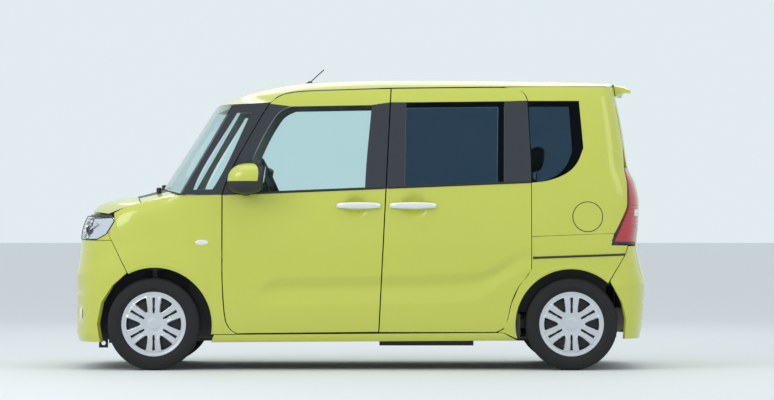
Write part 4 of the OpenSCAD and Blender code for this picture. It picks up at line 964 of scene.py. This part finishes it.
edge = (np.abs(y)/470)**4
seat = .6*(1 + 4*edge)
lines = [(22 + 18*edge, seat), (26 + 20*edge, 30), (30 + 22*edge, 60), (44 + 26*edge, 96),
         (60 + 26*edge, 96), (80, 58), (92, 28), (102, seat)]
grid = np.stack([tail_skin(y, ROOF - drop) + np.stack([back + 0*y, 0*y, 0*y], 1) for drop, back in lines])
n = len(lines)//2
piece("spoiler_skin", [shell_part(grid[:n], grid[:n - 1:-1])], [paint], "tailgate", ["rear_spoiler"],
      2)
piece("plate_blank",
      [shell_part(*[tail_skin(*np.meshgrid(np.linspace(-165, 165, 12), np.linspace(650, 730, 6)), d)
                    for d in (8, 14)])], [white_lens], "tailgate", bevel=1)

# Wheels: drawn about the wheel's middle with the outer face towards -y, then set at each corner


def cover_part():
    """Wheel cover on rings and angles: a dished disc with a raised hub and lip, six drop-shaped windows
    and a slot down the middle of each pair of spokes, all let in by soft steps."""
    r = np.concatenate([np.linspace(.5, 45, 8), np.linspace(45, 165, 40)[1:],
                        np.linspace(165, 194, 10)[1:]])[:, None]
    a = np.linspace(0, 2*np.pi, 216, endpoint=False)[None]
    sixth = np.pi/3
    phi = (a + sixth/2) % sixth - sixth/2
    psi = a % sixth - sixth/2
    wide = 34*np.clip((r - 78)/80, 0, 1)**.72
    window = (1 - step(wide - 2, wide + 1.5, np.abs(r*np.sin(phi))))*(wide > 3)*(1 - step(158, 162, r))
    slot = (1 - step(4, 6.5, np.abs(r*np.sin(psi))))*step(64, 68, r)*(1 - step(153, 157, r))
    dish = through((0, 60), (29, 60), (34, 57), (46, 56.5), (60, 59), (110, 63), (158, 61), (170, 58),
                   (180, 60), (188, 62), (192, 60), (194, 54))(r)
    edge = 2.5*np.exp(-((np.abs(r*np.sin(phi)) - wide - 9)/6)**2)*(wide > 3)*(r < 170)
    y = dish + edge - 26*window - 12*slot
    grid = np.stack([r*np.cos(a), -y, r*np.sin(a)], -1)
    dark = np.where(np.maximum(window, slot)[:-1] > .45, 1, 0)
    return skin_part(grid[:, ::-1], dark[:, ::-1], around=True)


def tyre_part():
    """Tyre from a closed section swept round: rounded shoulders, bulged walls with fine rings, three
    grooves round the tread and slanted cuts across its shoulders."""
    w, bead, top = TYRE_W/2, RIM_R, WHEEL_Z
    sect = np.array([(bead, -w + 16), (bead + 10, -w + 7), (bead + 34, -w), (top - 34, -w + 1),
                     (top - 14, -w + 6), (top - 4, -w + 15), (top, -w + 26), (top, w - 26),
                     (top - 4, w - 15), (top - 14, w - 6), (top - 34, w - 1), (bead + 34, w),
                     (bead + 10, w - 7), (bead, w - 16)])
    at = np.concatenate([np.linspace(0, 5, 22), np.linspace(5, 8, 40)[1:-1], np.linspace(8, 13, 22)])
    r, h = [through(*enumerate(sect[:, i]))(at)[:, None] for i in (0, 1)]
    a = np.linspace(0, 2*np.pi, 180, endpoint=False)[None]
    tread = step(top - 8, top - 3, r)
    groove = sum(np.exp(-((h - c)/3.2)**4) for c in (-30, 0, 30))
    cuts = step(20, 34, np.abs(h))*(np.cos(60*a + h*.12) > .72)
    ring = 1.2*np.cos(r*.55)**6*(1 - step(top - 22, top - 12, r))
    r = r - tread*np.maximum(7*np.minimum(groove, 1), 4*cuts)
    h = h + np.sign(h)*ring*(np.abs(h) > w - 16)
    grid = np.stack([r*np.cos(a), -h + 0*a, r*np.sin(a)], -1)
    return skin_part(grid, 0, around=True)


barrel = turned_part([(190, 52), (186, 30), (172, 20), (170, -40), (184, -52), (190, -58), (182, -60),
                      (166, -44), (164, 18), (120, 30), (60, 34), (46, 20), (46, -30), (30, -34)], 72, 1,
                     "-y")
cover, tyre = cover_part(), tyre_part()
for corner, x, flip in (("front_left", X_FRONT_AXLE, 1), ("front_right", X_FRONT_AXLE, -1),
                        ("rear_left", X_REAR_AXLE, 1), ("rear_right", X_REAR_AXLE, -1)):
    turn = as_drawn if flip > 0 else mirrored
    stand = lambda part: shifted(turn(part), [(x, -flip*WHEEL_Y, WHEEL_Z)])
    piece(f"wheel_cover_{corner}", [stand(cover), stand(barrel)], [wheel_silver, wheel_dark],
          f"wheel_{corner}", [f"rim_{corner}"], crisp=30)
    piece(f"tyre_tread_{corner}", [stand(tyre)], [tyre_rubber], f"wheel_{corner}", [f"tyre_{corner}"])

# Door fittings
MIRROR_X, MIRROR_Y = -655.0, -(section(1040) + 118)


def mirror_shell():
    """Mirror housing: a rounded box whose three half axes are raised to a power, flat behind."""
    u = np.linspace(-np.pi/2, np.pi/2, 40)[:, None]
    v = np.linspace(0, 2*np.pi, 64, endpoint=False)[None]
    soft = lambda c, p: np.sign(c)*np.abs(c)**p
    x = -soft(np.cos(u), .8)*soft(np.cos(v), .85)*118
    y = soft(np.cos(u), .75)*soft(np.sin(v), .8)*100
    z = soft(np.sin(u), .85)*90 + 0*v
    x = np.minimum(x, 92) + 14*z/90
    grid = np.stack([MIRROR_X + x, MIRROR_Y + y, 1128 + z], -1)
    low = (z < -16) | (np.cos(v) < -.45)
    return skin_part(grid[:, ::-1], np.where(low[:-1], 1, 0)[:, ::-1], around=True)


def oval_glass():
    """Mirror glass: rings of an oval, just behind the housing."""
    r = np.linspace(.02, 1, 8)[:, None]
    a = np.linspace(0, 2*np.pi, 48, endpoint=False)[None]
    grid = np.stack([MIRROR_X + 94.5 + 11*r*np.sin(a), MIRROR_Y + 78*r*np.cos(a), 1130 + 70*r*np.sin(a)],
                    -1)
    return skin_part(grid, 2, around=True)


sx, sz, _, _ = net([lambda z: door_front(z) + 8, lambda z: front_glass_f(z) + 6],
                   [[1036, 1040], [1120, 1120], [1236, 1240]], [8], [6, 8])
sail = shell_part(side(sx, sz, -7), side(sx, sz, 4), None, 1, 1, 1)
foot = tube_part([(MIRROR_X, MIRROR_Y + 60, 1060), (MIRROR_X - 8, MIRROR_Y + 90, 1054),
                  (MIRROR_X - 14, -section(1050), 1056), (MIRROR_X - 14, -section(1050) + 8, 1056)],
                 [26, 25, 30, 30], 16, 1, flat=1.5)


def grip(x0, x1, z):
    """Pull handle along the skin: a flattened bar that stands off in its middle."""
    s = np.linspace(0, 1, 40)
    path = side(mix(x0, x1, s), z + 0*s, -6 - 20*np.sin(np.pi*s)**.5)
    return tube_part(path, 19*np.sin(np.pi*(.04 + .92*s))**.22, 14, 0, flat=.5)


key_dot = turned_part([(0, 2), (7, 2), (8, -4)], 24, 1, "-y",
                      side(np.array(206.0), np.array(float(GRIP_Z)), -20))
piece("slide_grips", both(grip(178, 448, GRIP_Z)) + [key_dot], [satin_silver, lamp_black])
for name, turn in (("left", as_drawn), ("right", mirrored)):
    own = f"front_door_{name}"
    piece(f"mirror_housing_{name}", [turn(p) for p in (mirror_shell(), oval_glass(), sail, foot)],
          [paint, black_grain, chrome], own, [f"mirror_{name}"])
    piece(f"door_grip_{name}", [turn(grip(-134, 119, GRIP_Z))], [satin_silver], own)
    sx = np.linspace(X_DOOR + 100, X_B - 8, 60)
    strip = tube_part(side(sx, belt(sx) + 4, 3), 8, 8, 0)
    card_x, card_z = np.meshgrid(np.linspace(X_DOOR + 60, X_B - 60, 40), np.linspace(300, 1010, 30))
    arm_rest = 10*np.exp(-((card_z - 640)/60)**4)
    pocket = 6*np.exp(-((card_z - 420)/70)**4)*np.exp(-((card_x + 380)/240)**6)
    card = shell_part(side(card_x, card_z, 58), side(card_x, card_z, 62 + (arm_rest + pocket)), None, 0,
                      1, 1)
    piece(f"belt_strip_{name}", [turn(strip)], [seal_rubber], own)
    piece(f"door_card_{name}", [turn(card)], [dash_pale, dash_pale], own)
jambs = []
for line, top in ((door_front, 1566), (pillar_b, 1650), (lambda z: slide_rear(z) + 1, 1580)):
    up = np.linspace(240, top, 90)
    jambs += both(tube_part(side(line(up), up, 26), 3, 8, 0))
piece("door_seals", jambs, [seal_rubber])
sx = np.linspace(X_B + 10, X_C - 4, 60)
rail_x = np.linspace(X_C + 8, 1560, 60)
rail = tube_part(side(rail_x, 662 + 20*(rail_x - X_C)/552, 2), 7.5, 8, 0)
piece("belt_strips", both(tube_part(side(sx, belt(sx) + 4, 3), 8, 8, 0)), [seal_rubber])
piece("slide_rails", both(rail), [lamp_black])


def disc_part(x, z, wide, tall, top, foot, crown=0.0):
    """Closed oval plate on the left skin: rings out along its crowned face and back along its foot."""
    r = np.concatenate([np.linspace(.02, 1, 10), np.linspace(1, .02, 6)])[:, None]
    a = np.linspace(0, 2*np.pi, 72, endpoint=False)[None]
    depth = np.where(np.arange(16) < 10, top - crown*(1 - r[:, 0]**4), foot)[:, None]
    grid = side(x + wide*r*np.cos(a), z + tall*r*np.sin(a), depth)
    return skin_part(grid[:, ::-1], 0, around=True)


piece("side_markers", both(disc_part(-929, 753, 38, 16, -1.5, 4, 3.5)), [white_lens])
piece("filler_lid", [disc_part(LID_X, LID_Z, LID_R, LID_R, -2.6, -1)], [paint], "fuel_lid", ["fuel_lid"])
piece("filler_pocket", [disc_part(LID_X, LID_Z, LID_R + 5, LID_R + 5, -.5, 3)], [lamp_black])

# Wipers and aerial
for y0, z0, name in ((-420, 1068, "left"), (120, 1087, "right")):
    s = np.linspace(0, 1, 30)
    arm = np.stack([-1206.5 + 0*s, y0 + 400*s, z0 + 6*np.sin(np.pi*s)], 1)
    blade = arm + [8, 0, -7]
    parts = [tube_part(arm[:22], 6, 10, 0), tube_part(blade, 4.5, 8, 0),
             turned_part([(0, 10), (12, 8), (15, 0), (13, -24), (0, -24)], 24, 0, "z", (-1200.5, y0, z0))]
    piece(f"wiper_{name}", parts, [black_grain], stands_for=["wipers"] if y0 < 0 else ())
wz = 1160.0
wy = np.linspace(-30, 300, 30)
rear_arm = tail_skin(wy, wz + 0*wy, -1)
piece("rear_wiper_arm", [tube_part(rear_arm[:20], 6, 10, 0), tube_part(rear_arm + [-3, 0, -8], 5, 8, 0),
                         turned_part([(0, 16), (12, 14), (17, 2), (17, -4), (0, -4)], 24, 0, "x",
                                     tail_skin(np.array(-30.0), np.array(wz), 4))],
      [black_grain], "tailgate", ["rear_wiper"])
lo, hi = [np.array(c)*1000 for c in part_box("antenna")]
root_x, root_z = -308.5, lo[2] + 4
mast = np.linspace([root_x, 0, root_z + 8], [hi[0] - 4, 0, hi[2] - 3], 24)
coil = 3.2 + .5*np.cos(np.arange(24)*np.pi)
mast_foot = turned_part([(24, -5), (23, 3), (17, 9), (9, 15), (0, 17)], 32, 0, "z", (root_x, 0, root_z))
piece("aerial", [tube_part(mast, coil, 10, 0), mast_foot], [black_grain], stands_for=["antenna"])

# Cabin


def cushion(middle, size, lean=0.0, power=3.4, channels=0, along=0, tuck=.05):
    """Padded form: a rounded box on two angles, crowned, with its sides pulled in between the corners
    and sewn channels pressed in across it, then leaned about the y axis."""
    u = np.linspace(-np.pi/2, np.pi/2, 44)[:, None]
    v = np.linspace(0, 2*np.pi, 88, endpoint=False)[None]
    soft = lambda c: np.sign(c)*np.abs(c)**(2/power)
    p = np.stack([soft(np.cos(u))*soft(np.cos(v)), soft(np.cos(u))*soft(np.sin(v)),
                  soft(np.sin(u)) + 0*v], -1)
    pinch = 1 - tuck*(1 - p[..., :1]**2)*(1 - p[..., 1:2]**2)*np.abs(p[..., 2:])
    p = p*np.concatenate([pinch, pinch, 1 + 0*pinch], -1)
    if channels:
        groove = np.cos(p[..., along]*np.pi*channels)**16
        p[..., 2] -= .07*groove*np.sign(p[..., 2])*(np.abs(p[..., 2]) > .3)
    p = p*np.array(size)/2
    c, s = math.cos(math.radians(lean)), math.sin(math.radians(lean))
    x, z = p[..., 0]*c + p[..., 2]*s, -p[..., 0]*s + p[..., 2]*c
    return skin_part(np.stack([x, p[..., 1], z], -1) + np.array(middle), 0, around=True)


def puff(obj, cap=.022):
    """Blows a form up as cloth under pressure, on an even mesh, and holds each point within the cap."""
    scene = bpy.context.scene
    form = bpy.data.objects.new("form", obj.data.copy())
    scene.collection.objects.link(form)
    even = form.modifiers.new("even", "REMESH")
    even.mode = "VOXEL"
    even.voxel_size = CLOTH_CELL
    graph = bpy.context.evaluated_depsgraph_get()
    form.data = bpy.data.meshes.new_from_object(form.evaluated_get(graph))
    form.modifiers.clear()
    start = np.array([p.co for p in form.data.vertices])
    pad = form.modifiers.new("pad", "CLOTH")
    pad.settings.use_pressure = True
    pad.settings.uniform_pressure_force = 4
    pad.settings.effector_weights.gravity = 0
    for frame_number in range(1, CLOTH_FRAMES + 1):
        scene.frame_set(frame_number)
    blown = form.evaluated_get(bpy.context.evaluated_depsgraph_get()).data
    move = np.array([p.co for p in blown.vertices]) - start
    far = np.linalg.norm(move, axis=1, keepdims=True)
    move *= np.minimum(1, cap/np.maximum(far, 1e-9))
    form.modifiers.clear()
    mesh = form.data
    mesh.vertices.foreach_set("co", (start + move).ravel())
    mesh.materials.clear()
    for mat in obj.data.materials:
        mesh.materials.append(mat)
    mesh.shade_smooth()
    obj.data = mesh
    bpy.data.objects.remove(form)
    scene.frame_set(1)


def seat_set(name, x, y, width, cushion_l, top, back_top, head_top, node, heads):
    """Cushion, back and head restraints in the room of the solid seat."""
    lean = math.degrees(math.atan2(110, back_top - top))
    back_z = (top + back_top)/2 - 20
    back_x = x + cushion_l + 85
    parts = {"cushion": cushion((x + cushion_l/2, y, top - 60), (cushion_l, width - 24, 130), 3, 4, 4, 1),
             "back": cushion((back_x, y, back_z), (back_top - top + 110, width - 24, 100), lean - 90, 4,
                             4, 1)}
    for label, part in parts.items():
        obj = piece(f"{name}_{label}", [part], [seat_weave], stands_for=[node])
        puff(obj)
    for k, dy in enumerate(heads):
        rest = piece(f"{name}_head_{k}",
                     [cushion((x + cushion_l + 165, y + dy, head_top - 80), (80, 236, 146), 8, 3.4)],
                     [seat_weave])
        puff(rest, .012)
    posts = [tube_part(np.linspace([x + cushion_l + 150, y + dy + s, back_top - 60],
                                   [x + cushion_l + 165, y + dy + s, head_top - 90], 6), 6, 10, 0)
             for dy in heads for s in (-45, 45)]
    frame_x, frame_z = x + cushion_l*.52, 214.5
    plinth = cushion((frame_x, y, (frame_z + top - 130)/2), (cushion_l*.8, width*.8, top - 130 - frame_z),
                     0, 9, tuck=0)
    piece(f"{name}_posts", posts, [chrome])
    piece(f"{name}_base", [plinth], [black_grain])


seat_set("passenger_seat", -420.5, -310, 440, 480, 640, 1200, 1400, "front_seats", (0,))
seat_set("driver_seat", -420.5, 310, 440, 480, 640, 1200, 1400, "front_seats", (0,))
seat_set("rear_bench", 454.5, 0, 1080, 440, 640, 1130, 1330, "rear_seat", (-300, 300))

BACK = -1008.0
dash_line = np.array([(0, 655), (120, 652), (225, 662), (285, 730), (312, 800), (318, 880), (302, 945),
                      (262, 984), (160, 1003), (60, 1012), (2, 1000)])
at = np.linspace(0, 10, 60)
px, pz = [through(*enumerate(dash_line[:, i]))(at)[:, None] for i in (0, 1)]
wy = np.linspace(-590, 590, 80)[None]
hood = np.exp(-((wy - 340)/150)**4)*np.exp(-((px - 240)/70)**2)*(pz > 900)
stack = np.exp(-(wy/120)**6)*np.exp(-((pz - 850)/110)**4)
bay = np.exp(-((np.abs(wy) - 470)/70)**6)*np.exp(-((pz - 905)/26)**4)
dash = np.stack([BACK + px + 26*stack*(px > 200) - 14*bay*(px > 200), wy + 0*px, pz + 34*hood], -1)
dash_in = np.stack(np.broadcast_arrays(BACK + 10 + px*.9, wy, 830 + (pz - 830)*.9), -1)
tilt = math.radians(65)
axis = np.array([math.sin(tilt), 0, math.cos(tilt)])
lift = np.array([-math.cos(tilt), 0, math.sin(tilt)])
hub = np.array([X_DOOR + 270, 340, 1095.0])
column = tube_part(np.linspace(hub - 280*axis, hub - 40*axis, 8), [40, 40, 38, 36, 34, 32, 30, 29], 20, 0)
piece("dash_skin",
      [shell_part(dash[:, ::-1], dash_in[:, ::-1], None,
                  np.where(pz[:-1] + 0*wy[:, 1:] < 790, 1, 0)[:, ::-1]), column], [dash_grain, dash_pale],
      stands_for=["dashboard"], bevel=3)
a = np.linspace(0, 2*np.pi, 96, endpoint=False)
across = np.array([0, 1.0, 0])
ring = hub + 170*(np.cos(a)[:, None]*lift + np.sin(a)[:, None]*across)
towards = lambda b: math.cos(b)*lift + math.sin(b)*across
spokes = [tube_part(hub + np.linspace(40, 165, 8)[:, None]*towards(b) - 8*axis, 15, 12, 0, flat=.6)
          for b in (math.pi, math.radians(75), math.radians(-75))]
boss_path = hub + np.linspace(-30, 8, 8)[:, None]*axis
boss = tube_part(boss_path, [44, 52, 58, 60, 60, 58, 50, 34], 28, 0)
piece("steering_grip", [tube_part(ring, 15 + .5*np.cos(24*a), 14, 0, closed=True), boss] + spokes,
      [dash_grain], "steering_wheel", ["steering_wheel"])


# Studio


def studio_floor():
    """Level floor on an even grid."""
    x, y = np.meshgrid(np.linspace(-90, 90, 19), np.linspace(-90, 90, 19))
    points, quads, _ = skin_part(np.stack([x, y, 0*x], -1))
    mesh = bpy.data.meshes.new("studio_floor")
    mesh.from_pydata(points.tolist(), [], quads.tolist())
    obj = bpy.data.objects.new("studio_floor", mesh)
    bpy.context.scene.collection.objects.link(obj)
    return obj


floor = studio_floor()
floor.data.materials.append(finish("studio_floor", (.74, .76, .76), .75, mottle=.01))

world = bpy.data.worlds.new("studio")
bpy.context.scene.world = world
world.use_nodes = True
tree = world.node_tree
sky, out = tree.nodes["Background"], tree.nodes["World Output"]
spot = tree.nodes.new("ShaderNodeTexCoord")
split = tree.nodes.new("ShaderNodeSeparateXYZ")
ramp = tree.nodes.new("ShaderNodeValToRGB")
for stop, place, colour in zip(ramp.color_ramp.elements, (.49, .72),
                               ((.30, .32, .30, 1), (.88, .94, 1, 1))):
    stop.position = place
    stop.color = colour
half_up = tree.nodes.new("ShaderNodeMapRange")
half_up.inputs["From Min"].default_value = -1
tree.links.new(spot.outputs["Generated"], split.inputs["Vector"])
tree.links.new(split.outputs["Z"], half_up.inputs["Value"])
tree.links.new(half_up.outputs["Result"], ramp.inputs["Fac"])
tree.links.new(ramp.outputs["Color"], sky.inputs["Color"])
sky.inputs["Strength"].default_value = .9
plain = tree.nodes.new("ShaderNodeBackground")
plain.inputs["Color"].default_value = (.76, .84, .87, 1)
path = tree.nodes.new("ShaderNodeLightPath")
either, seen = [tree.nodes.new("ShaderNodeMath") for _ in range(2)]
either.operation = seen.operation = "MAXIMUM"
tree.links.new(path.outputs["Is Glossy Ray"], seen.inputs[0])
tree.links.new(path.outputs["Is Transmission Ray"], seen.inputs[1])
tree.links.new(path.outputs["Is Camera Ray"], either.inputs[0])
tree.links.new(seen.outputs["Value"], either.inputs[1])
blend = tree.nodes.new("ShaderNodeMixShader")
tree.links.new(either.outputs["Value"], blend.inputs["Fac"])
tree.links.new(sky.outputs["Background"], blend.inputs[1])
tree.links.new(plain.outputs["Background"], blend.inputs[2])
tree.links.new(blend.outputs["Shader"], out.inputs["Surface"])


def softbox(name, place, aim, size, power):
    """Soft lamp at a place, turned so that its face looks at the aim."""
    lamp = bpy.data.lights.new(name, "AREA")
    lamp.shape = "RECTANGLE"
    lamp.size, lamp.size_y = size
    lamp.energy = power
    obj = bpy.data.objects.new(name, lamp)
    bpy.context.scene.collection.objects.link(obj)
    obj.location = place
    way = np.array(aim, float) - place
    flat = math.hypot(way[0], way[1])
    obj.rotation_euler = (math.atan2(flat, -way[2]), 0, math.atan2(-way[0], way[1]))


softbox("over", (0, -1.5, 6.5), (0, -.2, 1), (7, 4), 90)
softbox("front_side", (-5.5, -6, 4.5), (-.8, 0, .9), (4, 3), 150)
softbox("rear_side", (6, -5, 4), (1, 0, .9), (3, 3), 50)
softbox("far_side", (0, 7, 5), (0, 0, 1), (6, 3), 60)

camera = bpy.data.cameras.new("photo_view")
camera.lens = 174
camera.sensor_width = 36
camera.shift_y = .0155
camera.clip_end = 200
view = bpy.data.objects.new("photo_view", camera)
bpy.context.scene.collection.objects.link(view)
view.location = (.160, -22.727, .932)
view.rotation_euler = (math.pi/2, 0, 0)
bpy.context.scene.camera = view
bpy.context.scene.view_settings.view_transform = "Standard"

bpy.context.view_layer.update()
